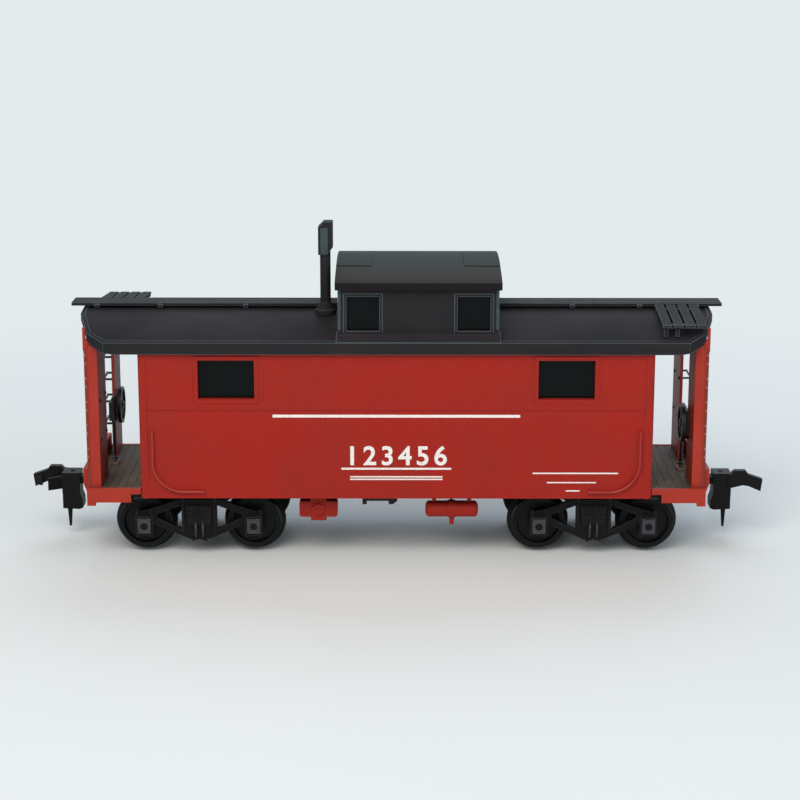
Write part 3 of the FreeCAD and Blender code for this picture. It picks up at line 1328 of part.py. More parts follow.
def coupler(label, turned):
    """Horn-hook coupler: pivoted shank, head block, hooked arm, guide horn and trip pin."""
    made = body(label, turned)
    half = "shank_width / 2"
    add(made, "Z", (SHANK_BOTTOM, SHANK_TOP), box(("coupler_pivot", "head_back + 0.5"), both(half)))
    add(made, "Z", (SHANK_BOTTOM, SHANK_TOP), Disc("coupler_pivot", "0", "shank_eye_diameter / 2"))
    add(made, "Z", (SHANK_BOTTOM, SHANK_TOP),
        box(("coupler_pivot - centring_tail", "coupler_pivot"), both("tail_width / 2")))
    cut(made, "Z", (SHANK_BOTTOM, SHANK_TOP),
        Disc("coupler_pivot", "0", "coupler_post_diameter / 2 + pivot_clearance"))
    add(made, "Y", both("head_half_width"),
        [("head_back", "head_bottom"), ("head_front", "head_bottom"), ("head_front", "head_top"),
         ("head_back", "head_top")])
    add(made, "Y", both("knee_half_width"),
        [("knee_back", "knee_bottom + 0.25"), ("knee_back + 0.6", "knee_bottom"),
         ("head_front", "knee_bottom + 0.15"), ("head_front", "head_bottom + 0.1"),
         ("head_back", "head_bottom + 0.1"), ("knee_back", "head_bottom - 1.2")])
    span = "(hook_reach - head_front)"
    add(made, "Y", across(-1, "hook_offset", "hook_offset + hook_thickness"),
        [("head_front - 0.5", "hook_tip_bottom + 0.6"), ("head_front", "hook_tip_bottom + 0.6"),
         (f"head_front + 0.36 * {span}", "hook_waist"), (f"head_front + 0.55 * {span}", "hook_waist - 0.15"),
         ("hook_reach - 0.3", "hook_tip_bottom"), ("hook_reach", "hook_tip_top"),
         (f"head_front + 0.54 * {span}", "head_top - 0.1"), (f"head_front + 0.46 * {span}", "hook_bump_top"),
         (f"head_front + 0.1 * {span}", "hook_bump_top"), ("head_front", "head_top"),
         ("head_front - 0.5", "head_top")])
    add(made, "Z", ("hook_tip_bottom + 0.4", "hook_tip_top - 0.1"),
        [("hook_reach - 0.25", "-hook_offset - 0.3"), ("hook_reach - 0.5", "-hook_offset + 0.2"),
         ("hook_reach - 1.7", "-hook_offset + 1.0"), ("hook_reach - 1.7", "-hook_offset - 0.3")])
    add(made, "Z", ("horn_bottom", "horn_bottom + 2.2"),
        [("head_front - 0.5", "0.6"), ("head_front", "0.6"), ("horn_reach", "horn_spread - 0.7"),
         ("horn_reach", "horn_spread"), ("head_front", "head_half_width"),
         ("head_front - 0.5", "head_half_width")])
    add(made, "Y", both("trip_top_width / 3"),
        [("trip_place - trip_top_width / 2", "knee_bottom + 0.4"),
         ("trip_place - trip_foot_width / 2", "trip_bottom"),
         ("trip_place + trip_foot_width / 2", "trip_bottom"),
         ("trip_place + trip_top_width / 2", "knee_bottom + 0.4")])


# ---------------------------------------------------------------- assembly

def build():
    """Make every sub-part."""
    for side, sign in (("left", "-"), ("right", "")):
        centre = f"{sign}(truck_spacing / 2)"
        outer = f"{sign}(truck_spacing / 2 + wheelbase / 2)"
        inner = f"{sign}(truck_spacing / 2 - wheelbase / 2)"
        truck(side, centre)
        wheelset(f"{side}_outer", outer)
        wheelset(f"{side}_inner", inner)
        turned = side == "left"
        running_board(side)
        lateral_walk(f"lateral_walk_{side}", turned)
        deck(f"deck_{side}", turned)
        platform_sill(f"platform_sill_{side}", turned)
        end_frame(f"end_frame_{side}", turned, 1 if turned else -1)
        ladder_rungs(f"ladder_rungs_{side}", turned)
        grab_irons(f"grab_irons_{side}", turned)
        brake_stand(f"brake_stand_{side}", turned)
        brake_wheel(f"brake_wheel_{side}", turned)
        end_door(f"end_door_{side}", turned)
        coupler_box(f"coupler_box_{side}", turned)
        coupler_lid(f"coupler_lid_{side}", turned)
        coupler(f"coupler_{side}", turned)
    underframe()
    king_pins()
    lid_screws()
    steel_weight()
    control_valve()
    air_reservoir()
    brake_cylinder()
    brake_lever_bracket()
    body_shell()
    glazing()
    side_handrails()
    main_roof()
    cupola_shell()
    cupola_roof()
    smokejack()


def export():
    """Check every object and write each sub-part as a STEP file."""
    DOC.recompute()
    for thing in DOC.Objects:
        if "Invalid" in thing.State or "Error" in thing.State:
            raise ValueError(f"{thing.Label} failed: {thing.State}")
    os.makedirs("parts", exist_ok=True)
    for part in PARTS:
        shape = part.Shape
        if shape.isNull() or not shape.isValid() or not shape.Solids:
            raise ValueError(f"{part.Label} has no valid solid")
        if not part.AllowCompound and len(shape.Solids) != 1:
            raise ValueError(f"{part.Label} is in {len(shape.Solids)} pieces")
        shape.exportStep(f"parts/{part.Label}.step")


build()
export()
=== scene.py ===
import json
import logging
import math
from dataclasses import dataclass
from enum import Enum
from functools import partial
from typing import Callable, Sequence

import bmesh
import bpy
from mathutils import Matrix, Vector


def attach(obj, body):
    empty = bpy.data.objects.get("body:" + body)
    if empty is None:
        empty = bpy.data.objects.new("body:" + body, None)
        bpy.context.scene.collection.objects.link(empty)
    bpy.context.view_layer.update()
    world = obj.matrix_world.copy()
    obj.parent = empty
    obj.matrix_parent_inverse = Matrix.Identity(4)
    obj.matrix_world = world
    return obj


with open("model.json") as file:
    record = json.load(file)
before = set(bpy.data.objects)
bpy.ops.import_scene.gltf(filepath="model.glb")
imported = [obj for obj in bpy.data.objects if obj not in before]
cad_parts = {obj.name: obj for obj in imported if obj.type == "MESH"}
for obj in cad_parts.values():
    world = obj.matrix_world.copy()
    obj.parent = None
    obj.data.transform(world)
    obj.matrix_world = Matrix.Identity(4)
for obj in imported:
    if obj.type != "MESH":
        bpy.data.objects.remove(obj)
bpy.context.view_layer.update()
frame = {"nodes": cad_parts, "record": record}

# Looks of the HO model caboose: a finish for every solid of the frame, and the small trim that the
# solids leave out, such as rivets, printed rules, bolts and pipes. Sizes are in millimetres of the
# car: X along it, Y across it with the brake valve's side at -Y, Z up from the foot of the wheels.
# Trim of an end is drawn at the right end, and goes to the left one by half a turn.

log = logging.getLogger("caboose")
MM = 0.001
HALF_TURN = Matrix.Rotation(math.pi, 4, "Z")
Triple = tuple[float, float, float]
BOTH_WAYS = (-1, 1)
# how deep a rivet, nail or bolt head is sunk, and the share of its radius that its top has
HEAD_SUNK = 0.03
HEAD_TAPER = 0.7
TO_END: Triple = (1, 0, 0)
TO_MIDDLE: Triple = (-1, 0, 0)
TO_BACK: Triple = (0, 1, 0)
TO_FRONT: Triple = (0, -1, 0)
UP: Triple = (0, 0, 1)
DOWN: Triple = (0, 0, -1)


class Side(Enum):
    """A side of the car; the value is the sign of the axis that it lies on."""

    @property
    def word(self) -> str:
        """The side's word in the names of bodies and pieces."""
        return self.name.lower()


class End(Side):
    """The two ends of the car, along X."""

    LEFT = -1
    RIGHT = 1


class Face(Side):
    """The two long sides of the car, along Y."""

    FRONT = -1
    BACK = 1


class Finish(Enum):
    """The finishes; those of the solids are named as the record's material slots are."""

    BODY_RED = "body_red"
    END_RED = "end_red"
    DOOR_RED = "door_red"
    RAIL_RED = "rail_red"
    ROOF_BLACK = "roof_black"
    GLAZING = "glazing"
    DECK_WOOD = "deck_wood"
    FRAME_BLACK = "frame_black"
    FITTING_BLACK = "fitting_black"
    COUPLER_BLACK = "coupler_black"
    TRUCK_BLACK = "truck_black"
    WHEEL_BLACK = "wheel_black"
    AXLE_STEEL = "axle_steel"
    WEIGHT_STEEL = "weight_steel"
    SCREW_STEEL = "screw_steel"
    INK = "ink"
    CROWN_BLACK = "crown_black"
    HOOD_BLACK = "hood_black"
    SHEEN_BLACK = "sheen_black"
    HIGHLIGHT_RED = "highlight_red"
    STEP_BROWN = "step_brown"


# ---- colour and shader nodes

def linear(code: str) -> tuple[float, float, float, float]:
    """Turn an sRGB hex colour to linear.

    Args:
        code: Six hex digits, with or without a leading #.

    Returns:
        The linear colour with alpha 1.
    """
    digits = code.lstrip("#")
    channels = [int(digits[place:place + 2], 16) / 255 for place in (0, 2, 4)]
    red, green, blue = [value / 12.92 if value <= 0.04045 else ((value + 0.055) / 1.055) ** 2.4
                        for value in channels]
    return red, green, blue, 1.0


def add_node(tree: bpy.types.NodeTree, kind: str, inputs: dict | None = None,
             **settings: str | int) -> bpy.types.Node:
    """Add a shader node with its settings and links.

    Args:
        tree: The node tree.
        kind: The node's type, without the ShaderNode before it.
        inputs: Its inputs by name or number: a value, a hex colour, the socket that feeds it, or the
            node whose first output does.
        settings: Its other settings by name.

    Returns:
        The new node.
    """
    node = tree.nodes.new(f"ShaderNode{kind}")
    for key, value in settings.items():
        setattr(node, key, value)
    for key, value in (inputs or {}).items():
        entry = node.inputs[key] if isinstance(key, int) else next(
            socket for socket in node.inputs if socket.enabled and socket.name == key)
        if isinstance(value, bpy.types.Node):
            value = next(socket for socket in value.outputs if socket.enabled)
        if isinstance(value, bpy.types.NodeSocket):
            tree.links.new(value, entry)
        else:
            entry.default_value = linear(value) if isinstance(value, str) else value
    return node


def new_material(name: str) -> tuple[bpy.types.Material, Callable[..., bpy.types.Node], bpy.types.NodeSocket]:
    """Start a node material.

    Args:
        name: The material's name.

    Returns:
        The material, add_node for its node tree, and the socket that gives the place on the piece.
    """
    material = bpy.data.materials.new(name)
    material.use_nodes = True
    material.node_tree.nodes.clear()
    add = partial(add_node, material.node_tree)
    return material, add, add("TexCoord").outputs["Object"]


def cover(material: bpy.types.Material, shader: bpy.types.Node) -> bpy.types.Material:
    """Let a shader cover a material's surface, and hand the material back."""
    add_node(material.node_tree, "OutputMaterial", {"Surface": shader})
    return material


def spots(size_mm: float) -> float:
    """Noise scale that gives spots of a size in millimetres."""
    return 1 / (size_mm * MM)


def shown_or_mirrored(add: Callable[..., bpy.types.Node]) -> bpy.types.Node:
    """Add a switch that is on where a surface is seen, looked through to or mirrored, not where it lights.

    Args:
        add: add_node for the node tree.

    Returns:
        The node whose value is the switch.
    """
    ray = add("LightPath").outputs
    seen = add("Math", {0: ray["Is Camera Ray"], 1: ray["Is Transmission Ray"]}, operation="MAXIMUM")
    return add("Math", {0: seen, 1: ray["Is Glossy Ray"]}, operation="MAXIMUM")


# ---- finishes

@dataclass(frozen=True)
class MouldedPlastic:
    """Injection-moulded plastic: a broad faint mottle, a fine matt grain and edges that catch light.

    The mottle is the slight unevenness of a moulding's cooling and the grain is the spark-eroded face of
    the mould. The pale edges are a painted highlight, mixed in where the edges are rounded, as if light
    caught them. A painted shade, where there is some, darkens the faces that look along the car.
    """

    name: str
    colour: str
    shade: str
    # colour of the painted highlight on the edges
    edge: str
    roughness: float = 0.5
    # how far the sharpest edges go towards the painted highlight's colour
    edge_highlight_share: float = 0.35
    mottle_mm: float = 9.0
    grain_mm: float = 0.35
    grain_height_mm: float = 0.012
    edge_mm: float = 0.12
    specular: float = 0.3
    # colour and share of painted shade on the faces that look along the car
    painted_shade_colour: str = "#000000"
    painted_shade_share: float = 0.0
    mottle_low: float = 0.35
    mottle_high: float = 0.65
    flat_match: float = 0.995
    corner_match: float = 0.8
    painted_shade_start: float = 0.15
    painted_shade_full: float = 0.7
    gloss_swing: float = 0.06
    grain_strength: float = 0.6

    def make(self) -> bpy.types.Material:
        """Build the material.

        Returns:
            The finished material.
        """
        material, add, place = new_material(self.name)
        mottle = add("TexNoise", {"Vector": place, "Scale": spots(self.mottle_mm), "Detail": 3.0})
        grain = add("TexNoise", {"Vector": place, "Scale": spots(self.grain_mm), "Detail": 2.0})
        blotch = add("MapRange", {"Value": mottle, "From Min": self.mottle_low, "From Max": self.mottle_high})
        colour = add("Mix", {"Factor": blotch, "A": self.colour, "B": self.shade}, data_type="RGBA")
        rounded = add("Bevel", {"Radius": self.edge_mm * MM}, samples=6)
        facing = add("NewGeometry").outputs["Normal"]
        # painted highlight: the edge colour is mixed in where the rounded normal turns away from the face's
        # own
        match = add("VectorMath", {0: rounded, 1: facing}, operation="DOT_PRODUCT")
        edge_highlight_mask = add("MapRange", {
            "Value": match, "From Min": self.flat_match, "From Max": self.corner_match,
            "To Max": self.edge_highlight_share})
        # painted shade: faces that look along the car are darkened, as where light grazes them
        along = add("SeparateXYZ", {"Vector": facing}).outputs["X"]
        ends = add("Math", {0: along}, operation="ABSOLUTE")
        painted_shade_mask = add("MapRange", {
            "Value": ends, "From Min": self.painted_shade_start, "From Max": self.painted_shade_full,
            "To Max": self.painted_shade_share})
        with_painted_shade = add("Mix", {"Factor": painted_shade_mask, "A": colour, "B": self.painted_shade_colour}, data_type="RGBA")
        with_edge_highlight = add("Mix", {"Factor": edge_highlight_mask, "A": with_painted_shade, "B": self.edge}, data_type="RGBA")
        gloss = add("MapRange", {
            "Value": mottle, "To Min": self.roughness - self.gloss_swing,
            "To Max": self.roughness + self.gloss_swing})
        bump = add("Bump", {
            "Height": grain, "Normal": rounded, "Strength": self.grain_strength,
            "Distance": self.grain_height_mm * MM})
        return cover(material, add("BsdfPrincipled", {
            "Base Color": with_edge_highlight, "Roughness": gloss, "Normal": bump, "IOR": 1.5,
            "Specular IOR Level": self.specular}))


@dataclass(frozen=True)
class CrownWithPaintedLight:
    """Moulded crown of the cupola roof in painted light and shade by height: a green-grey sheen on top, olive
    below, dark eaves in painted shade.
    """

    name: str
    top: str
    middle: str
    eaves: str
    low_mm: float = 49.65
    high_mm: float = 51.3
    middle_share: float = 0.3
    grain_mm: float = 0.35
    grain_height_mm: float = 0.02
    grain_strength: float = 0.6
    roughness: float = 0.6
    specular: float = 0.06

    def make(self) -> bpy.types.Material:
        """Build the material.

        Returns:
            The finished material.
        """
        material, add, place = new_material(self.name)
        # painted light and shade by height: dark eaves in painted shade up to a painted sheen on top
        height = add("SeparateXYZ", {"Vector": place}).outputs["Z"]
        rise = add("MapRange", {"Value": height, "From Min": self.low_mm * MM, "From Max": self.high_mm * MM})
        fade = add("ValToRGB", {"Fac": rise})
        stops = fade.color_ramp.elements
        stops[0].color = linear(self.eaves)
        stops[1].color = linear(self.top)
        stops.new(self.middle_share).color = linear(self.middle)
        grain = add("TexNoise", {"Vector": place, "Scale": spots(self.grain_mm), "Detail": 2.0})
        bump = add("Bump", {
            "Height": grain, "Strength": self.grain_strength, "Distance": self.grain_height_mm * MM})
        return cover(material, add("BsdfPrincipled", {
            "Base Color": fade, "Normal": bump, "IOR": 1.5, "Roughness": self.roughness,
            "Specular IOR Level": self.specular}))


@dataclass(frozen=True)
class DeckBoards:
    """Platform boards moulded in grey-brown styrene and washed by hand with thin paint.

    Long thin streaks follow each board, broad stains lie across them where the wash has pooled, and the
    boards next to the end sheets are brown with mud.
    """

    name: str
    light: str
    dark: str
    stain: str
    mud: str
    streak_mm: float = 0.3
    streak_stretch: float = 0.08
    streak_low: float = 0.3
    streak_high: float = 0.7
    streak_height_mm: float = 0.03
    streak_strength: float = 0.7
    stain_mm: float = 3.2
    stain_low: float = 0.42
    stain_high: float = 0.75
    mud_start_mm: float = 46.5
    mud_end_mm: float = 51.5
    mud_share: float = 0.75
    roughness: float = 0.72
    specular: float = 0.3

    def make(self) -> bpy.types.Material:
        """Build the material.

        Returns:
            The finished material.
        """
        material, add, place = new_material(self.name)
        along = add("Mapping", {"Vector": place, "Scale": (1.0, self.streak_stretch, 1.0)})
        grain = add("TexNoise", {"Vector": along, "Scale": spots(self.streak_mm), "Detail": 4.0})
        pools = add("TexNoise", {"Vector": place, "Scale": spots(self.stain_mm), "Detail": 3.0})
        streak = add("MapRange", {"Value": grain, "From Min": self.streak_low, "From Max": self.streak_high})
        boards = add("Mix", {"Factor": streak, "A": self.light, "B": self.dark}, data_type="RGBA")
        pooled = add("MapRange", {"Value": pools, "From Min": self.stain_low, "From Max": self.stain_high})
        stained = add("Mix", {"Factor": pooled, "A": boards, "B": self.stain}, data_type="RGBA")
        far = add("SeparateXYZ", {"Vector": place}).outputs["X"]
        reach = add("Math", {0: far}, operation="ABSOLUTE")
        muddy = add("MapRange", {
            "Value": reach, "From Min": self.mud_start_mm * MM, "From Max": self.mud_end_mm * MM,
            "To Max": self.mud_share})
        colour = add("Mix", {"Factor": muddy, "A": stained, "B": self.mud}, data_type="RGBA")
        bump = add("Bump", {
            "Height": grain, "Strength": self.streak_strength, "Distance": self.streak_height_mm * MM})
        return cover(material, add("BsdfPrincipled", {
            "Base Color": colour, "Normal": bump, "IOR": 1.5, "Roughness": self.roughness,
            "Specular IOR Level": self.specular}))


@dataclass(frozen=True)
class DarkPane:
    """Styrene glazing, smooth and nearly black, with a faint haze left by the polish; the near-black is
    painted shade of the unlit inside of the car.
    """

    name: str
    colour: str
    shade: str
    haze_mm: float = 4.0
    clear_roughness: float = 0.12
    hazy_roughness: float = 0.24
    specular: float = 0.12

    def make(self) -> bpy.types.Material:
        """Build the material.

        Returns:
            The finished material.
        """
        material, add, place = new_material(self.name)
        haze = add("TexNoise", {"Vector": place, "Scale": spots(self.haze_mm), "Detail": 3.0})
        colour = add("Mix", {"Factor": haze, "A": self.colour, "B": self.shade}, data_type="RGBA")
        gloss = add("MapRange", {
            "Value": haze, "To Min": self.clear_roughness, "To Max": self.hazy_roughness})
        return cover(material, add("BsdfPrincipled", {
            "Base Color": colour, "Roughness": gloss, "IOR": 1.49, "Specular IOR Level": self.specular}))


@dataclass(frozen=True)
class TurnedSteel:
    """Turned, rolled or plated steel: grey metal with an uneven film of oil that dulls it in places."""

    name: str
    colour: str
    shade: str
    roughness: float = 0.35
    film_mm: float = 1.4
    film_dulls: float = 0.2

    def make(self) -> bpy.types.Material:
        """Build the material.

        Returns:
            The finished material.
        """
        material, add, place = new_material(self.name)
        film = add("TexNoise", {"Vector": place, "Scale": spots(self.film_mm), "Detail": 3.0})
        colour = add("Mix", {"Factor": film, "A": self.colour, "B": self.shade}, data_type="RGBA")
        gloss = add("MapRange", {
            "Value": film, "To Min": self.roughness, "To Max": self.roughness + self.film_dulls})
        return cover(material, add("BsdfPrincipled", {
            "Base Color": colour, "Roughness": gloss, "Metallic": 1.0}))


@dataclass(frozen=True)
class PrintedInk:
    """Pad-printed white ink: opaque and satin, thin in spots where the red shows through."""

    name: str
    colour: str
    thin: str
    spot_mm: float = 0.5
    thin_start: float = 0.45
    thin_full: float = 0.9
    roughness: float = 0.55
    specular: float = 0.3

    def make(self) -> bpy.types.Material:
        """Build the material.

        Returns:
            The finished material.
        """
        material, add, place = new_material(self.name)
        ink = add("TexNoise", {"Vector": place, "Scale": spots(self.spot_mm), "Detail": 3.0})
        bare = add("MapRange", {"Value": ink, "From Min": self.thin_start, "From Max": self.thin_full})
        colour = add("Mix", {"Factor": bare, "A": self.colour, "B": self.thin}, data_type="RGBA")
        return cover(material, add("BsdfPrincipled", {
            "Base Color": colour, "IOR": 1.5, "Roughness": self.roughness,
            "Specular IOR Level": self.specular}))


# In each MouldedPlastic the colour after the shade is a painted highlight on the edges, and the number after
# the roughness is how strong it is.
FINISHES = {
    Finish.BODY_RED: MouldedPlastic(
        "Red styrene, body", "#A3251C", "#9B281E", "#BC4A40", 0.5, 0.55, specular=0.14),
    # the ends carry painted shade on their faces that look along the car
    Finish.END_RED: MouldedPlastic(
        "Red styrene, ends", "#AC3629", "#A03226", "#C46052", 0.5, 0.5, specular=0.16, painted_shade_colour="#732B1B",
        painted_shade_share=0.75),
    Finish.DOOR_RED: MouldedPlastic(
        "Red styrene, doors", "#9E2A22", "#932A22", "#B04840", 0.5, 0.5, specular=0.2),
    Finish.RAIL_RED: MouldedPlastic(
        "Red painted wire", "#A3281F", "#9C271F", "#C0504A", 0.3, 0.0, 3.0, 0.2, 0.004, 0.03, 0.4),
    Finish.ROOF_BLACK: MouldedPlastic(
        "Charcoal styrene, roof", "#2E2B2D", "#272629", "#70828B", 0.62, 0.9, 11.0, 0.45, 0.02, 0.24, 0.05),
    # the crown's colours by height are painted sheen and shade
    Finish.CROWN_BLACK: CrownWithPaintedLight("Charcoal styrene, crown", "#1F2826", "#2A2822", "#1F1B1D"),
    # near-black that is painted shade of the unlit inside of the car
    Finish.GLAZING: DarkPane("Smoked glazing", "#050D0C", "#070A0B"),
    Finish.DECK_WOOD: DeckBoards("Washed platform boards", "#6C6756", "#4A443A", "#585042", "#3C2C20"),
    Finish.FRAME_BLACK: MouldedPlastic("Black styrene, frame", "#1D1B1D", "#181819", "#3A3A3E", 0.55),
    Finish.FITTING_BLACK: MouldedPlastic(
        "Black styrene, fittings", "#151516", "#1A191B", "#3C3C40", 0.4, 0.4, 3.0, 0.25, 0.006, 0.05),
    Finish.COUPLER_BLACK: MouldedPlastic(
        "Black acetal, couplers", "#111013", "#151315", "#3E3E42", 0.45, 0.5, 2.5, 0.3, 0.015, 0.1, 0.12),
    Finish.TRUCK_BLACK: MouldedPlastic(
        "Black acetal, trucks", "#151315", "#111213", "#6A5C64", 0.45, 0.7, 3.0, 0.3, 0.015, 0.12, 0.12),
    Finish.WHEEL_BLACK: MouldedPlastic(
        "Black acetal, wheels", "#121415", "#0F1112", "#464A4E", 0.4, 0.5, 3.0, 0.3, 0.01, 0.1, 0.16),
    Finish.AXLE_STEEL: TurnedSteel("Blackened axle steel", "#55555A", "#3D3D40", 0.4),
    Finish.WEIGHT_STEEL: TurnedSteel("Rolled weight steel", "#8C8C8E", "#6E6E70", 0.45),
    Finish.SCREW_STEEL: TurnedSteel("Plated screws", "#9A9A9C", "#77777A", 0.3),
    Finish.INK: PrintedInk("White printing ink", "#F4F0EC", "#E2C9C4"),
    # a pale blue-grey: painted highlight on the smokejack's hood and the cupola's corner beads
    Finish.HOOD_BLACK: MouldedPlastic(
        "Charcoal styrene, dusted", "#455356", "#3C484B", "#65757A", 0.6, 0.5, 2.0, 0.3, 0.01, 0.06, 0.1),
    # a pale grey that is a painted sheen, on the journal lids and the bolts below the springs
    Finish.SHEEN_BLACK: MouldedPlastic(
        "Black acetal rubbed pale", "#3E4045", "#34363B", "#7A8086", 0.4, 0.8, 2.0, 0.2, 0.01, 0.06),
    # a pale pink that is a painted highlight on the flange bolts
    Finish.HIGHLIGHT_RED: MouldedPlastic(
        "Red styrene rubbed pale", "#C98478", "#BC7468", "#D8A298", 0.45, 0.3, 2.0, 0.2, 0.01, 0.05),
    Finish.STEP_BROWN: MouldedPlastic(
        "Brown styrene, brake step", "#8A6C52", "#765A44", "#A88A70", 0.55, 0.5, 2.0, 0.2, 0.01, 0.06),
}
OWN_FINISH = {"cupola_roof": Finish.CROWN_BLACK}
WORN: dict[Finish, bpy.types.Material] = {}


# ---- making pieces

@dataclass(frozen=True)
class Row:
    """A straight row of rivet, nail or bolt heads, or a pair of rows when it has a gap."""

    first: Triple
    step: Triple
    count: int
    outwards: Triple
    radius: float = 0.13
    height: float = 0.05
    gap: Triple | None = None


class Piece:
    """A mesh under construction, drawn in millimetres in a frame of its own."""

    def __init__(self, name: str, turned: bool = False, origin: Triple = (0, 0, 0),
                 signs: Triple = (1, 1, 1)) -> None:
        """Start an empty piece.

        Args:
            name: Its name.
            turned: Whether it goes to the other end of the car by half a turn.
            origin: Place of the drawing's origin on the car.
            signs: Signs of the drawing's X, Y and Z on the car.
        """
        self.name = name
        self.turned = turned
        self.origin = Vector(origin)
        self.signs = Vector(signs)
        self.mesh = bmesh.new()

    @classmethod
    def on_end(cls, name: str, end: End) -> "Piece":
        """Start a piece of one end, drawn at the right end."""
        return cls(f"{name}_{end.word}", turned=end is End.LEFT)

    @classmethod
    def on_face(cls, name: str, face: Face) -> "Piece":
        """Start a piece of one long side, drawn with +X to the right and +Y towards who looks at it."""
        return cls(f"{name}_{face.word}", signs=(-face.value, face.value, 1))

    def spot(self, point: Sequence[float]) -> Vector:
        """Bring a point of the drawing to its place on the car."""
        return self.origin + self.signs * Vector(point)

    def block(self, low: Sequence[float], high: Sequence[float]) -> None:
        """Add a box.

        Args:
            low: One corner.
            high: The corner opposite it.
        """
        near, far = self.spot(low), self.spot(high)
        made = bmesh.ops.create_cube(self.mesh, size=1.0)["verts"]
        bmesh.ops.scale(self.mesh, vec=[abs(length) for length in far - near], verts=made)
        bmesh.ops.translate(self.mesh, vec=(near + far) / 2, verts=made)

    def rod(self, start: Sequence[float], end: Sequence[float], radius: float, sides: int = 12,
            end_radius: float | None = None) -> None:
        """Add a cylinder or a cone.

        Args:
            start: Centre of the first end.
            end: Centre of the second end.
            radius: Radius at the start.
            sides: Number of sides.
            end_radius: Radius at the end, if it differs.
        """
        near, far = self.spot(start), self.spot(end)
        made = bmesh.ops.create_cone(self.mesh, cap_ends=True, segments=sides, radius1=radius,
                                     radius2=radius if end_radius is None else end_radius,
                                     depth=(far - near).length)["verts"]
        turn = (far - near).to_track_quat("Z", "Y").to_matrix().to_4x4()
        bmesh.ops.transform(self.mesh, matrix=Matrix.Translation((near + far) / 2) @ turn, verts=made)

    def ball(self, centre: Sequence[float], radius: float, sides: int = 10) -> None:
        """Add a ball.

        Args:
            centre: Its centre.
            radius: Its radius.
            sides: Number of sides round it.
        """
        made = bmesh.ops.create_uvsphere(self.mesh, u_segments=sides, v_segments=6, radius=radius)["verts"]
        bmesh.ops.translate(self.mesh, vec=self.spot(centre), verts=made)

    def run(self, points: Sequence[Sequence[float]], radius: float) -> None:
        """Add a pipe through several points, with a ball at each bend.

        Args:
            points: Centres of the ends and bends.
            radius: Radius of the pipe.
        """
        for start, end in zip(points, points[1:]):
            self.rod(start, end, radius, 10)
        for bend in points[1:-1]:
            self.ball(bend, radius)

    def head(self, place: Sequence[float], outwards: Sequence[float], radius: float, height: float,
             sides: int = 6) -> None:
        """Add a rivet, nail or bolt head that stands on a surface and narrows upwards.

        Args:
            place: Centre of the foot.
            outwards: Direction away from the surface.
            radius: Radius of the foot.
            height: How far it stands proud.
            sides: Number of sides; six also makes a hexagon nut.
        """
        foot, out = Vector(place), Vector(outwards).normalized()
        self.rod(foot - out * HEAD_SUNK, foot + out * height, radius, sides, radius * HEAD_TAPER)

    def rows(self, *rows: Row) -> None:
        """Add rows of heads.

        Args:
            rows: The rows, or pairs of rows.
        """
        for row in rows:
            for number in range(row.count):
                place = Vector(row.first) + number * Vector(row.step)
                self.head(place, row.outwards, row.radius, row.height)
                if row.gap:
                    self.head(place + Vector(row.gap), row.outwards, row.radius, row.height)

    def ring(self, centre: Sequence[float], radius: float, wire: float, sides: int = 24) -> None:
        """Add a round hoop about the Y axis through its centre.

        Args:
            centre: Centre of the hoop.
            radius: Radius to the middle of the wire.
            wire: Radius of the wire.
            sides: Steps round the hoop.
        """
        middle = self.spot(centre)
        edge = bmesh.ops.create_circle(self.mesh, cap_ends=False, segments=8, radius=wire)["verts"]
        turn = Vector(TO_END).to_track_quat("Z", "Y").to_matrix().to_4x4()
        bmesh.ops.transform(self.mesh, matrix=turn, verts=edge)
        bmesh.ops.translate(self.mesh, vec=middle + Vector(UP) * radius, verts=edge)
        loop = list({link for vert in edge for link in vert.link_edges})
        bmesh.ops.spin(self.mesh, geom=edge + loop, cent=middle, axis=TO_BACK, angle=2 * math.pi,
                       steps=sides, use_merge=True, use_duplicate=False)

    def soften(self, width: float) -> None:
        """Bevel every sharp edge by a width."""
        edges = [edge for edge in self.mesh.edges if edge.calc_face_angle(0.0) > 0.5]
        bmesh.ops.bevel(self.mesh, geom=edges, offset=width, offset_type="OFFSET", affect="EDGES",
                        segments=2, profile=0.5, material=-1, clamp_overlap=True)

    def finish(self, slot: Finish, wears: Finish | None = None, body: str = "car_body",
               smooth: bool = False) -> None:
        """Turn the mesh to an object that rides on a body and wears a finish.

        Args:
            slot: The record's material slot.
            wears: Finish to wear where it isn't the slot's.
            body: The CAD body that it moves with.
            smooth: Whether its faces are shaded smooth.
        """
        bmesh.ops.recalc_face_normals(self.mesh, faces=self.mesh.faces)
        if self.turned:
            bmesh.ops.transform(self.mesh, matrix=HALF_TURN, verts=self.mesh.verts)
        bmesh.ops.scale(self.mesh, vec=(MM, MM, MM), verts=self.mesh.verts)
        data = bpy.data.meshes.new(self.name)
        self.mesh.to_mesh(data)
        self.mesh.free()
        data.shade_smooth() if smooth else data.shade_flat()
        dress(data, slot, wears, body)


def dress(data: bpy.types.Mesh, slot: Finish, wears: Finish | None = None, body: str = "car_body") -> None:
    """Make an object of a mesh, give it its finish and let it ride on its body.

    Args:
        data: The mesh, in metres, with the piece's name.
        slot: The record's material slot.
        wears: Finish to wear where it isn't the slot's.
        body: The CAD body that it moves with.
    """
    data.materials.clear()
    data.materials.append(WORN[wears or slot])
    made = bpy.data.objects.new(data.name, data)
    bpy.context.scene.collection.objects.link(made)
    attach(made, body)
    log.info("%s: %d faces on %s", data.name, len(data.polygons), body)


def dress_frame() -> None:
    """Give every solid of the frame the finish of its record slot, or its own."""
    for entry in frame["record"]["subparts"]:
        data = frame["nodes"][entry["node"]].data
        data.materials.clear()
        data.materials.append(WORN[OWN_FINISH.get(entry["node"], Finish(entry["material_slot"]))])
        log.info("%s wears %s", entry["node"], entry["material_slot"])


# ---- body

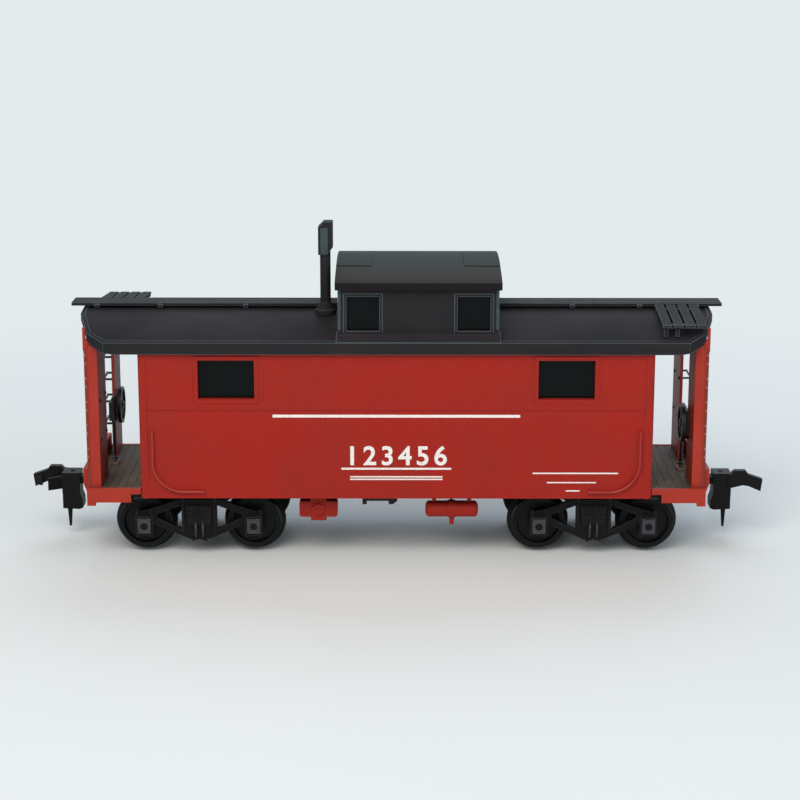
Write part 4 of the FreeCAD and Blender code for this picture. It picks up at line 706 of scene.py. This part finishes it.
@dataclass
class BodySide:
    """Trim of one long side: printed rules and number, rivets, seams and window ledges."""

    face: Face
    wall: float = 15.5
    belt_top: float = 28.5
    top: float = 37.1
    # left and right end, foot and top of each printed rule
    rules: tuple[tuple[float, float, float, float], ...] = (
        (-21.3, 21.3, 25.9, 26.4), (-9.5, 9.5, 16.6, 16.95), (-8.0, 8.0, 15.2, 15.45),
        (-8.0, 8.0, 14.75, 15.0), (23.6, 38.4, 15.85, 16.1), (26.1, 34.6, 14.2, 14.42),
        (29.4, 31.8, 12.7, 12.92))
    ink_proud: float = 0.02
    number_size: float = 4.7
    number_foot: float = 17.5
    number_spacing: float = 1.3
    number_weight: float = 0.09
    # corner strips, both edges of the belt, and a short seam between the windows
    rivets: tuple[Row, ...] = (
        Row((-43.5, 15.64, 12.1), (0, 0, 0.86), 30, TO_BACK, gap=(87, 0, 0)),
        Row((-42.0, 15.64, 27.5), (1.5, 0, 0), 57, TO_BACK),
        Row((-42.0, 15.64, 28.2), (1.5, 0, 0), 57, TO_BACK, 0.104),
        Row((-10.6, 15.5, 33.6), (0, 0, 0.95), 4, TO_BACK, 0.156))
    # distance from the middle and half width of each seam's bead
    beads: tuple[tuple[float, float], ...] = ((22.9, 0.08), (23.5, 0.08), (35.1, 0.1))
    bead_proud: float = 0.05
    window_centre: float = 29.2
    ledge_half: float = 5.45
    ledge_sunk: float = 0.1
    # foot, top and reach of the sill below each window and of the drip bead over it
    ledges: tuple[Triple, ...] = ((28.38, 28.75, 0.24), (36.3, 36.65, 0.2))

    def build(self) -> None:
        """Build the side."""
        self.print_rules()
        self.print_number()
        self.rivet_rows()
        self.seams()
        self.window_ledges()

    def print_rules(self) -> None:
        """Plain white rules above and below the number, and three short rules at the right."""
        piece = Piece.on_face("printed_rules", self.face)
        for left, right, foot, top in self.rules:
            piece.block((left, self.wall, foot), (right, self.wall + self.ink_proud, top))
        piece.finish(Finish.BODY_RED, Finish.INK)

    def print_number(self) -> None:
        """A plain running number in the middle of the side, drawn in millimetres and then brought to size."""
        curve = bpy.data.curves.new("number", "FONT")
        curve.body = "123456"
        curve.size = self.number_size
        curve.align_x = "CENTER"
        curve.space_character = self.number_spacing
        curve.offset = self.number_weight
        curve.extrude = self.ink_proud / 2
        drawn = bpy.data.objects.new("number", curve)
        bpy.context.scene.collection.objects.link(drawn)
        bpy.context.view_layer.update()
        data = bpy.data.meshes.new_from_object(drawn.evaluated_get(bpy.context.evaluated_depsgraph_get()))
        bpy.data.objects.remove(drawn)
        stand = Matrix.Rotation(math.pi / 2, 4, "X")
        if self.face is Face.BACK:
            stand = HALF_TURN @ stand
        middle = self.face.value * (self.wall + self.ink_proud / 2)
        place = Matrix.Translation((0, middle * MM, self.number_foot * MM))
        data.transform(place @ stand @ Matrix.Scale(MM, 4))
        data.name = f"printed_number_{self.face.word}"
        dress(data, Finish.BODY_RED, Finish.INK)

    def rivet_rows(self) -> None:
        """Rows of small rivets on the corner strips, along the belt and on one short seam."""
        piece = Piece.on_face("side_rivets", self.face)
        piece.rows(*self.rivets)
        piece.finish(Finish.BODY_RED, smooth=True)

    def seams(self) -> None:
        """Thin upright beads that cover the joints of the side sheets, over the belt."""
        piece = Piece.on_face("side_seams", self.face)
        for way in BOTH_WAYS:
            for middle, half in self.beads:
                piece.block((way * middle - half, self.wall - self.bead_proud, self.belt_top),
                            (way * middle + half, self.wall + self.bead_proud, self.top))
        piece.finish(Finish.BODY_RED)

    def window_ledges(self) -> None:
        """A sill below each side window and a drip bead over it."""
        piece = Piece.on_face("window_ledges", self.face)
        for way in BOTH_WAYS:
            middle = way * self.window_centre
            for foot, top, proud in self.ledges:
                piece.block((middle - self.ledge_half, self.wall - self.ledge_sunk, foot),
                            (middle + self.ledge_half, self.wall + proud, top))
        piece.soften(0.05)
        piece.finish(Finish.BODY_RED)


@dataclass
class EndWall:
    """Trim of one end wall under the roof: door frame, window beading, hinges, beads and rivets."""

    end: End
    # both faces of the beading on the door, its width and the glass inside it
    beading_faces: tuple[float, float] = (43.95, 44.12)
    beading: float = 0.35
    glass_half: float = 1.8
    glass_low: float = 25.6
    glass_high: float = 30.2
    # two corners each of the kick plate, one upright of the door frame and the drip cap
    kick_plate: tuple[Triple, Triple] = ((43.95, -3.2, 13.1), (44.08, 3.2, 13.8))
    frame_upright: tuple[Triple, Triple] = ((44.2, 3.75, 12.95), (44.45, 4.3, 33.35))
    drip_cap: tuple[Triple, Triple] = ((44.2, -4.5, 32.8), (44.6, 4.5, 33.35))
    hinge_place: tuple[float, float] = (44.05, -3.45)
    hinge_heights: Triple = (15.5, 22.0, 30.5)
    hinge_half: float = 0.7
    hinge_radius: float = 0.2
    wall_beads: tuple[float, ...] = (-12.4, -8.6, 8.6, 12.4)
    # two corners of a wall bead, across from its middle line
    wall_bead: tuple[Triple, Triple] = ((44.25, -0.12, 12.95), (44.36, 0.12, 36.6))
    rivets: tuple[Row, ...] = (
        Row((44.3, -12.9, 13.75), (0, 0, 1.45), 16, TO_END, 0.12, 0.06, (0, 25.8, 0)),
        Row((44.3, -9.1, 13.75), (0, 0, 1.45), 16, TO_END, 0.12, 0.06, (0, 18.2, 0)))

    def build(self) -> None:
        """Build the wall's trim."""
        self.door()
        self.surround()

    def door(self) -> None:
        """Beading round the door's glass, a kick plate and the hinges."""
        piece = Piece.on_end("door_beading", self.end)
        near, far = self.beading_faces
        for side, edge in ((-1, self.glass_low), (1, self.glass_high)):
            piece.block((near, side * self.glass_half, self.glass_low - self.beading),
                        (far, side * (self.glass_half + self.beading), self.glass_high + self.beading))
            piece.block((near, -self.glass_half, edge), (far, self.glass_half, edge + side * self.beading))
        piece.block(*self.kick_plate)
        along, across = self.hinge_place
        for height in self.hinge_heights:
            piece.rod((along, across, height - self.hinge_half), (along, across, height + self.hinge_half),
                      self.hinge_radius, 10)
        piece.finish(Finish.DOOR_RED)

    def surround(self) -> None:
        """Door frame with a drip cap, upright beads and rivets on the wall beside it."""
        piece = Piece.on_end("door_surround", self.end)
        for side in BOTH_WAYS:
            piece.block(*((along, side * across, height) for along, across, height in self.frame_upright))
        for middle in self.wall_beads:
            piece.block(*((along, middle + across, height) for along, across, height in self.wall_bead))
        piece.rows(*self.rivets)
        piece.block(*self.drip_cap)
        piece.finish(Finish.BODY_RED)


# ---- roof

@dataclass
class RoofTrim:
    """Trim of the roofs: nails in the running boards, the hood's fold and the cupola's corner beads."""

    # rows of nails where each running board crosses its saddles, from its outer end inwards
    board_rows: tuple[float, ...] = (56.3, 48.5, 40.7, 32.9)
    inner_rows: tuple[tuple[End, float], ...] = ((End.LEFT, 11.5), (End.RIGHT, 19.2))
    board_top: float = 43.45
    nail_side: float = -2.1
    nail_pitch: float = 0.84
    nails_in_row: int = 6
    # the two corners of the hood's panel and of one corner bead, beyond the middle line
    hood_panel: tuple[Triple, Triple] = ((-13.18, 1.15, 52.75), (-11.9, 1.27, 57.3))
    jack_side: float = -5.0
    bead_places: tuple[float, float] = (-9.74, 17.26)
    # two corners of a bead, along from its middle line
    bead: tuple[Triple, Triple] = ((-0.25, 15.25, 41.3), (0.25, 15.4, 48.2))

    def build(self) -> None:
        """Build the whole roof trim."""
        self.board_nails()
        self.hood_fold()
        self.cupola_beading()

    def board_nails(self) -> None:
        """Nail heads in rows of six where the running boards cross their saddles."""
        for end, inner in self.inner_rows:
            piece = Piece.on_end("running_board_nails", end)
            for place in (*self.board_rows, inner):
                piece.rows(Row((place, self.nail_side, self.board_top), (0, self.nail_pitch, 0),
                               self.nails_in_row, UP, 0.11, 0.04))
            piece.finish(Finish.ROOF_BLACK)

    def hood_fold(self) -> None:
        """Panel that is folded over each side of the smokejack's hood, pale with a painted highlight."""
        fold = Piece("smokejack_hood_fold")
        for face in Face:
            fold.block(*((along, self.jack_side + face.value * out, height)
                         for along, out, height in self.hood_panel))
        fold.finish(Finish.ROOF_BLACK, Finish.HOOD_BLACK)

    def cupola_beading(self) -> None:
        """Corner beads up the cupola, pale with a painted highlight."""
        piece = Piece("cupola_beading")
        for face in Face:
            for place in self.bead_places:
                piece.block(*((place + along, face.value * out, height) for along, out, height in self.bead))
        piece.finish(Finish.ROOF_BLACK, Finish.HOOD_BLACK)


# ---- end platforms

@dataclass
class EndPlatform:
    """Trim of one platform: deck nails, rivets on the end sheet, wire ends, brake fittings, sill bolts."""

    end: End
    deck_nails: tuple[Row, ...] = (
        Row((45.0, -11.6, 12.95), (1.46, 0, 0), 6, UP, 0.1, 0.03, (0, 23.2, 0)),
        Row((45.0, -4.0, 12.95), (1.46, 0, 0), 6, UP, 0.1, 0.03, (0, 8, 0)))
    post_foot: Triple = (52.7, 13.45, 14.2)
    post_pitch: float = 1.4
    post_count: int = 17
    # inside both edges of the sheet, and along its crown outside
    sheet_rivets: tuple[Row, ...] = (
        Row((51.4, -13.3, 14.2), (0, 0, 1.45), 16, TO_MIDDLE, gap=(0, 26.6, 0)),
        Row((51.9, -10.8, 37.4), (0, 1.8, 0), 13, TO_END, 0.14))
    rung_low: float = 19.1
    rung_pitch: float = 4.15
    rung_count: int = 5
    rung_legs: tuple[float, float] = (-12.3, -7.0)
    rung_face: float = 53.55
    rung_end_radius: float = 0.27
    flange_face: float = 53.53
    flange_side: float = 13.55
    flange_bolt_gap: float = 1.5
    grab_nuts: Row = Row((51.4, 5.9, 21.1), (0, 6.1, 0), 2, TO_MIDDLE, 0.36, 0.17, (0, 0, 6.9))
    housing_bolts: Row = Row((50.9, -8.3, 21.3), (0, 6.6, 0), 2, TO_MIDDLE, 0.22, 0.12, (0, 0, 2.9))
    collar_foot: Triple = (51.15, -1.7, 13.9)
    collar_height: float = 0.35
    collar_radius: float = 0.62
    step_low: Triple = (50.45, -2.9, 12.95)
    step_high: Triple = (51.35, -0.6, 13.35)
    sill_bolts: Row = Row((54.7, -11.3, 14.5), (0, 3.6, 0), 2, TO_END, 0.3, 0.14, (0, 19, 0))

    def build(self) -> None:
        """Build the platform's trim."""
        self.rivet_rows()
        self.flange_bolts()
        self.rung_ends()
        self.brake_fittings()

    def rivet_rows(self) -> None:
        """Deck nails, rivets on the plain post and the sheet, the grab irons' nuts and the sill's bolts."""
        along, across, height = self.post_foot
        foot = (along, self.end.value * across, height)
        post = Row(foot, (0, 0, self.post_pitch), self.post_count, TO_END)
        for name, rows, slot in (("deck_nails", self.deck_nails, Finish.DECK_WOOD),
                                 ("end_sheet_rivets", (post, *self.sheet_rivets), Finish.END_RED),
                                 ("grab_iron_nuts", (self.grab_nuts,), Finish.FITTING_BLACK),
                                 ("end_sill_bolts", (self.sill_bolts,), Finish.END_RED)):
            piece = Piece.on_end(name, self.end)
            piece.rows(*rows)
            piece.finish(slot)

    def flange_bolts(self) -> None:
        """Bolt heads in pairs down the swept flange of the near corner, at each rung, pale with a painted
        highlight.
        """
        piece = Piece.on_end("flange_bolts", self.end)
        side = -self.end.value
        lowest = (self.flange_face, side * self.flange_side, self.rung_low - self.flange_bolt_gap / 2)
        piece.rows(Row(lowest, (0, 0, self.rung_pitch), self.rung_count, (1, side, 0), 0.2, 0.08,
                       (0, 0, self.flange_bolt_gap)))
        piece.finish(Finish.END_RED, Finish.HIGHLIGHT_RED)

    def rung_ends(self) -> None:
        """Rounded corners of the ladder rungs, where the wire turns in to the sheet."""
        piece = Piece.on_end("rung_ends", self.end)
        for rung in range(self.rung_count):
            height = self.rung_low + rung * self.rung_pitch
            for leg in self.rung_legs:
                piece.ball((self.rung_face, leg, height), self.rung_end_radius)
        piece.finish(Finish.FITTING_BLACK, smooth=True)

    def brake_fittings(self) -> None:
        """Bolts on the brake housing, the rod's collar and the brown step below its foot."""
        piece = Piece.on_end("brake_housing_bolts", self.end)
        piece.rows(self.housing_bolts)
        collar_top = Vector(self.collar_foot) + self.collar_height * Vector(UP)
        piece.rod(self.collar_foot, collar_top, self.collar_radius)
        piece.finish(Finish.FITTING_BLACK)
        step = Piece.on_end("brake_rod_step", self.end)
        step.block(self.step_low, self.step_high)
        step.soften(0.08)
        step.finish(Finish.FITTING_BLACK, Finish.STEP_BROWN)


# ---- trucks

@dataclass
class SideframeTrim:
    """Trim of one sideframe of a truck: journal lids, nuts and bolts, spring bolts and clip."""

    end: End
    face: Face
    truck_place: float = 34.7
    journal: float = 9.625
    # two corners of a lid plate, along from its journal
    lid_plate: tuple[Triple, Triple] = ((-1.1, 12.6, 4.15), (1.1, 12.76, 6.75))
    boss_back: float = 12.6
    boss_face: float = 12.9
    boss_height: float = 5.4
    boss_radius: float = 0.78
    boss_top_radius: float = 0.6
    collar_out: float = 12.78
    collar_radius: float = 0.8
    collar_wire: float = 0.08
    hinge_out: float = 12.7
    hinge_height: float = 7.07
    hinge_half: float = 0.6
    hinge_radius: float = 0.24
    # distance from the truck's middle and from the car's, foot, top, radius and sides of each upright:
    # nuts under the journal box, bolts over it, column nuts, column bolts, nuts under the spring seat
    uprights: tuple[tuple[float, float, float, float, float, int], ...] = (
        (8.475, 11.75, 3.3, 3.75, 0.34, 6), (10.775, 11.75, 3.3, 3.75, 0.34, 6),
        (8.475, 11.75, 7.15, 8.2, 0.26, 6), (10.775, 11.75, 7.15, 8.2, 0.26, 6),
        (2.75, 11.7, 9.9, 10.35, 0.34, 6), (2.75, 11.75, 4.15, 9.9, 0.22, 8),
        (1.05, 11.7, 2.5, 2.95, 0.32, 6))
    spring_bolts: tuple[tuple[float, float, float, float, float, int], ...] = (
        (0.62, 12.02, 3.3, 6.0, 0.2, 10),)
    clip_low: Triple = (-0.5, 11.9, 5.6)
    clip_high: Triple = (0.5, 12.35, 8.95)

    def build(self) -> None:
        """Build the sideframe's trim."""
        self.lids()
        self.bolts()
        clip = self.start("spring_clip")
        clip.block(self.clip_low, self.clip_high)
        clip.soften(0.06)
        self.finish(clip)

    def start(self, name: str) -> Piece:
        """Start a piece, drawn from the truck's middle with +Y outwards."""
        return Piece(f"{name}_{self.end.word}_{self.face.word}",
                     origin=(self.end.value * self.truck_place, 0, 0), signs=(1, self.face.value, 1))

    def finish(self, piece: Piece, wears: Finish | None = None, smooth: bool = False) -> None:
        """Hand a piece over to the truck's body."""
        piece.finish(Finish.TRUCK_BLACK, wears, f"truck_{self.end.word}", smooth)

    def lids(self) -> None:
        """Journal lids: a plate pale with a painted sheen, a round boss in the middle, and a hinge with its
        pin above.
        """
        plates = self.start("journal_lid_plates")
        bosses = self.start("journal_lid_bosses")
        for way in BOTH_WAYS:
            middle = way * self.journal
            plates.block(*((middle + along, out, height) for along, out, height in self.lid_plate))
            plates.ring((middle, self.collar_out, self.boss_height), self.collar_radius, self.collar_wire)
            bosses.rod((middle, self.boss_back, self.boss_height), (middle, self.boss_face, self.boss_height),
                       self.boss_radius, 20, self.boss_top_radius)
            bosses.rod((middle - self.hinge_half, self.hinge_out, self.hinge_height),
                       (middle + self.hinge_half, self.hinge_out, self.hinge_height), self.hinge_radius, 10)
        self.finish(plates, Finish.SHEEN_BLACK)
        self.finish(bosses)

    def bolts(self) -> None:
        """Upright nuts and bolts of the frame, and the pair below the leaf spring, pale with a painted sheen.
        """
        for name, uprights, wears in (("sideframe_nuts", self.uprights, None),
                                      ("spring_bolts", self.spring_bolts, Finish.SHEEN_BLACK)):
            piece = self.start(name)
            for way in BOTH_WAYS:
                for along, out, foot, top, radius, sides in uprights:
                    piece.rod((way * along, out, foot), (way * along, out, top), radius, sides)
            self.finish(piece, wears, smooth=wears is not None)


@dataclass
class BolsterTrim:
    """Rivet heads below a truck's bolster, between its sideframes."""

    end: End
    truck_place: float = 34.7
    rivets: Row = Row((-1.7, -8.9, 7.9), (3.4, 0, 0), 2, DOWN, 0.24, 0.12, (0, 17.8, 0))

    def build(self) -> None:
        """Build the rivets."""
        piece = Piece(f"bolster_rivets_{self.end.word}", origin=(self.end.value * self.truck_place, 0, 0))
        piece.rows(self.rivets)
        piece.finish(Finish.TRUCK_BLACK, body=f"truck_{self.end.word}")


@dataclass
class WheelTrim:
    """Trim of one wheelset: the rolled lip round each wheel's face and the ring round its hub."""

    end: End
    word: str
    place: float
    axle_height: float = 5.45
    # distance from the car's middle, radius, wire radius and steps of the lip and of the hub's ring
    rings: tuple[tuple[float, float, float, int], ...] = ((10.0, 4.3, 0.11, 40), (9.95, 1.1, 0.14, 24))

    def build(self) -> None:
        """Build both wheels' lips and hubs."""
        middle = self.end.value * self.place
        lips = Piece(f"wheel_lips_{self.end.word}_{self.word}")
        for side in BOTH_WAYS:
            for out, radius, wire, steps in self.rings:
                lips.ring((middle, side * out, self.axle_height), radius, wire, steps)
        lips.finish(Finish.WHEEL_BLACK, body=f"wheelset_{self.end.word}_{self.word}", smooth=True)


# ---- underside

@dataclass
class Underside:
    """Trim below the floor: train pipe, pipes and bolts of the brake gear, rivets of the centre sill."""

    # corners and radius of each pipe: train pipe, and branches to the valve, the tank and the cylinder
    pipes: tuple[tuple[tuple[Triple, ...], float], ...] = (
        (((-24.0, 4.4, 10.95), (-12.0, 4.4, 10.95), (-9.0, 3.3, 10.95), (24.0, 3.3, 10.95)), 0.32),
        (((-13.65, -11.2, 8.9), (-13.65, -9.0, 8.9), (-13.65, -9.0, 10.95)), 0.28),
        (((9.7, -10.9, 8.6), (9.7, -9.0, 8.6), (9.7, -9.0, 10.95), (-9.0, -9.0, 10.95),
          (-12.6, -9.6, 10.95)), 0.26),
        (((-4.5, 6.5, 9.6), (-4.5, 6.5, 10.95), (-4.5, 9.6, 10.95), (12.0, 9.6, 10.95)), 0.26))
    # corners and middle of the valve's cover, then the tank's hangers and its band
    brake_bolts: tuple[Row, ...] = (
        Row((-16.35, -12.6, 7.8), (5.4, 0, 0), 2, TO_FRONT, 0.24, 0.12, (0, 0, 1.7)),
        Row((-13.65, -13.1, 8.6), UP, 1, TO_FRONT, 0.45, 0.14),
        Row((6.63, -12.45, 10.7), (6.14, 0, 0), 2, TO_FRONT, 0.2, 0.12),
        Row((9.7, -13.65, 8.6), UP, 1, TO_FRONT, 0.24, 0.12))
    sill_rivets: tuple[Row, ...] = (Row((-26.5, -1.8, 9.5), (2.3, 0, 0), 24, DOWN, 0.16, 0.07, (0, 3.6, 0)),)

    def build(self) -> None:
        """Build the whole underside trim."""
        pipes = Piece("brake_pipes")
        for corners, radius in self.pipes:
            pipes.run(corners, radius)
        pipes.finish(Finish.FRAME_BLACK, smooth=True)
        for name, rows, slot in (("brake_gear_bolts", self.brake_bolts, Finish.BODY_RED),
                                 ("centre_sill_rivets", self.sill_rivets, Finish.FRAME_BLACK)):
            heads = Piece(name)
            heads.rows(*rows)
            heads.finish(slot)


@dataclass
class CouplerTrim:
    """Trim of one coupler: the head of the pin that goes down through it."""

    end: End
    place: Triple = (58.6, 0.0, 12.1)
    radius: float = 0.45
    proud: float = 0.16

    def build(self) -> None:
        """Build the pin's head on top of the coupler's head."""
        piece = Piece.on_end("coupler_pin", self.end)
        piece.head(self.place, UP, self.radius, self.proud, 10)
        piece.finish(Finish.COUPLER_BLACK, body=f"coupler_{self.end.word}")


# ---- studio

@dataclass
class Studio:
    """Camera, lamps, world, floor and backdrop."""

    camera_place: Triple = (1.05, -356.6, 111.85)
    pitch_degrees: float = 13.65
    yaw_degrees: float = 0.08
    roll_degrees: float = -0.04
    lens: float = 92.03
    backdrop: str = "#E3EBED"
    daylight_colour: str = "#DDE6EA"
    daylight: float = 0.46
    # name, place, size, power and colour of each lamp, all aimed at the middle of the car
    lamps: tuple[tuple[str, Triple, float, float, str], ...] = (
        ("key", (-160, -470, 470), 420, 2.7, "#FFF6EC"),
        ("fill", (420, -360, 240), 400, 0.6, "#F2F6FF"),
        ("rim", (60, 420, 420), 380, 0.95, "#E4EEFF"))
    aim: Triple = (0, 0, 25)
    floor_size: float = 3.0
    card_light: str = "#F2F7F8"
    card_shade: str = "#EEF4F5"
    melt_start: float = 0.07
    melt_end: float = 0.24

    def build(self) -> None:
        """Build the whole studio."""
        self.camera()
        self.world()
        self.lights()
        self.floor()
        bpy.context.scene.view_settings.view_transform = "Standard"

    def camera(self) -> None:
        """Camera at the viewing angle of a low table-top shot with a long lens."""
        data = bpy.data.cameras.new("camera")
        data.lens = self.lens
        data.sensor_width = 36
        data.clip_start = 0.01
        data.clip_end = 20
        made = bpy.data.objects.new("camera", data)
        made.location = Vector(self.camera_place) * MM
        made.rotation_euler = (math.radians(90 - self.pitch_degrees), math.radians(self.roll_degrees),
                               math.radians(self.yaw_degrees))
        bpy.context.scene.collection.objects.link(made)
        bpy.context.scene.camera = made

    def world(self) -> None:
        """Even pale daylight on the car, and the backdrop's own colour where it is seen or mirrored."""
        world = bpy.data.worlds.new("studio")
        bpy.context.scene.world = world
        world.use_nodes = True
        world.node_tree.nodes.clear()
        add = partial(add_node, world.node_tree)
        dim = add("Background", {"Color": self.daylight_colour, "Strength": self.daylight})
        bright = add("Background", {"Color": self.backdrop, "Strength": 1.0})
        mix = add("MixShader", {0: shown_or_mirrored(add), 1: dim, 2: bright})
        add("OutputWorld", {"Surface": mix})

    def lights(self) -> None:
        """A broad lamp from above and in front, a fill from the right and a cool one from behind."""
        for name, place, size, power, colour in self.lamps:
            data = bpy.data.lights.new(name, "AREA")
            data.shape = "SQUARE"
            data.size = size * MM
            data.energy = power
            data.color = linear(colour)[:3]
            made = bpy.data.objects.new(name, data)
            made.location = Vector(place) * MM
            made.rotation_euler = (Vector(self.aim) - Vector(place)).to_track_quat("-Z", "Y").to_euler()
            bpy.context.scene.collection.objects.link(made)

    def floor(self) -> None:
        """Plain pale table top that keeps the car's shadow and melts into the backdrop further away."""
        shape = bmesh.new()
        bmesh.ops.create_grid(shape, x_segments=1, y_segments=1, size=self.floor_size)
        data = bpy.data.meshes.new("floor")
        shape.to_mesh(data)
        shape.free()
        made = bpy.data.objects.new("floor", data)
        material, add, place = new_material("Pale matt table top")
        haze = add("TexNoise", {"Vector": place, "Scale": spots(60), "Detail": 2.0})
        colour = add("Mix", {"Factor": haze, "A": self.card_light, "B": self.card_shade}, data_type="RGBA")
        card = add("BsdfPrincipled", {"Base Color": colour, "Roughness": 0.9, "Specular IOR Level": 0.1})
        reach = add("VectorMath", {0: place}, operation="LENGTH")
        fade = add("MapRange", {
            "Value": reach, "From Min": self.melt_start, "From Max": self.melt_end},
            interpolation_type="SMOOTHSTEP")
        melt = add("Math", {0: fade, 1: shown_or_mirrored(add)}, operation="MULTIPLY")
        far = add("Emission", {"Color": self.backdrop, "Strength": 1.0})
        data.materials.append(cover(material, add("MixShader", {0: melt, 1: card, 2: far})))
        bpy.context.scene.collection.objects.link(made)


def main() -> None:
    """Build the whole scene in order."""
    logging.basicConfig(level=logging.INFO, format="%(message)s")
    for finish, recipe in FINISHES.items():
        WORN[finish] = recipe.make()
    dress_frame()
    for face in Face:
        BodySide(face).build()
    RoofTrim().build()
    Underside().build()
    for end in End:
        EndWall(end).build()
        EndPlatform(end).build()
        CouplerTrim(end).build()
        BolsterTrim(end).build()
        WheelTrim(end, "outer", 44.325).build()
        WheelTrim(end, "inner", 25.075).build()
        for face in Face:
            SideframeTrim(end, face).build()
    Studio().build()


if __name__ == "__main__":
    main()
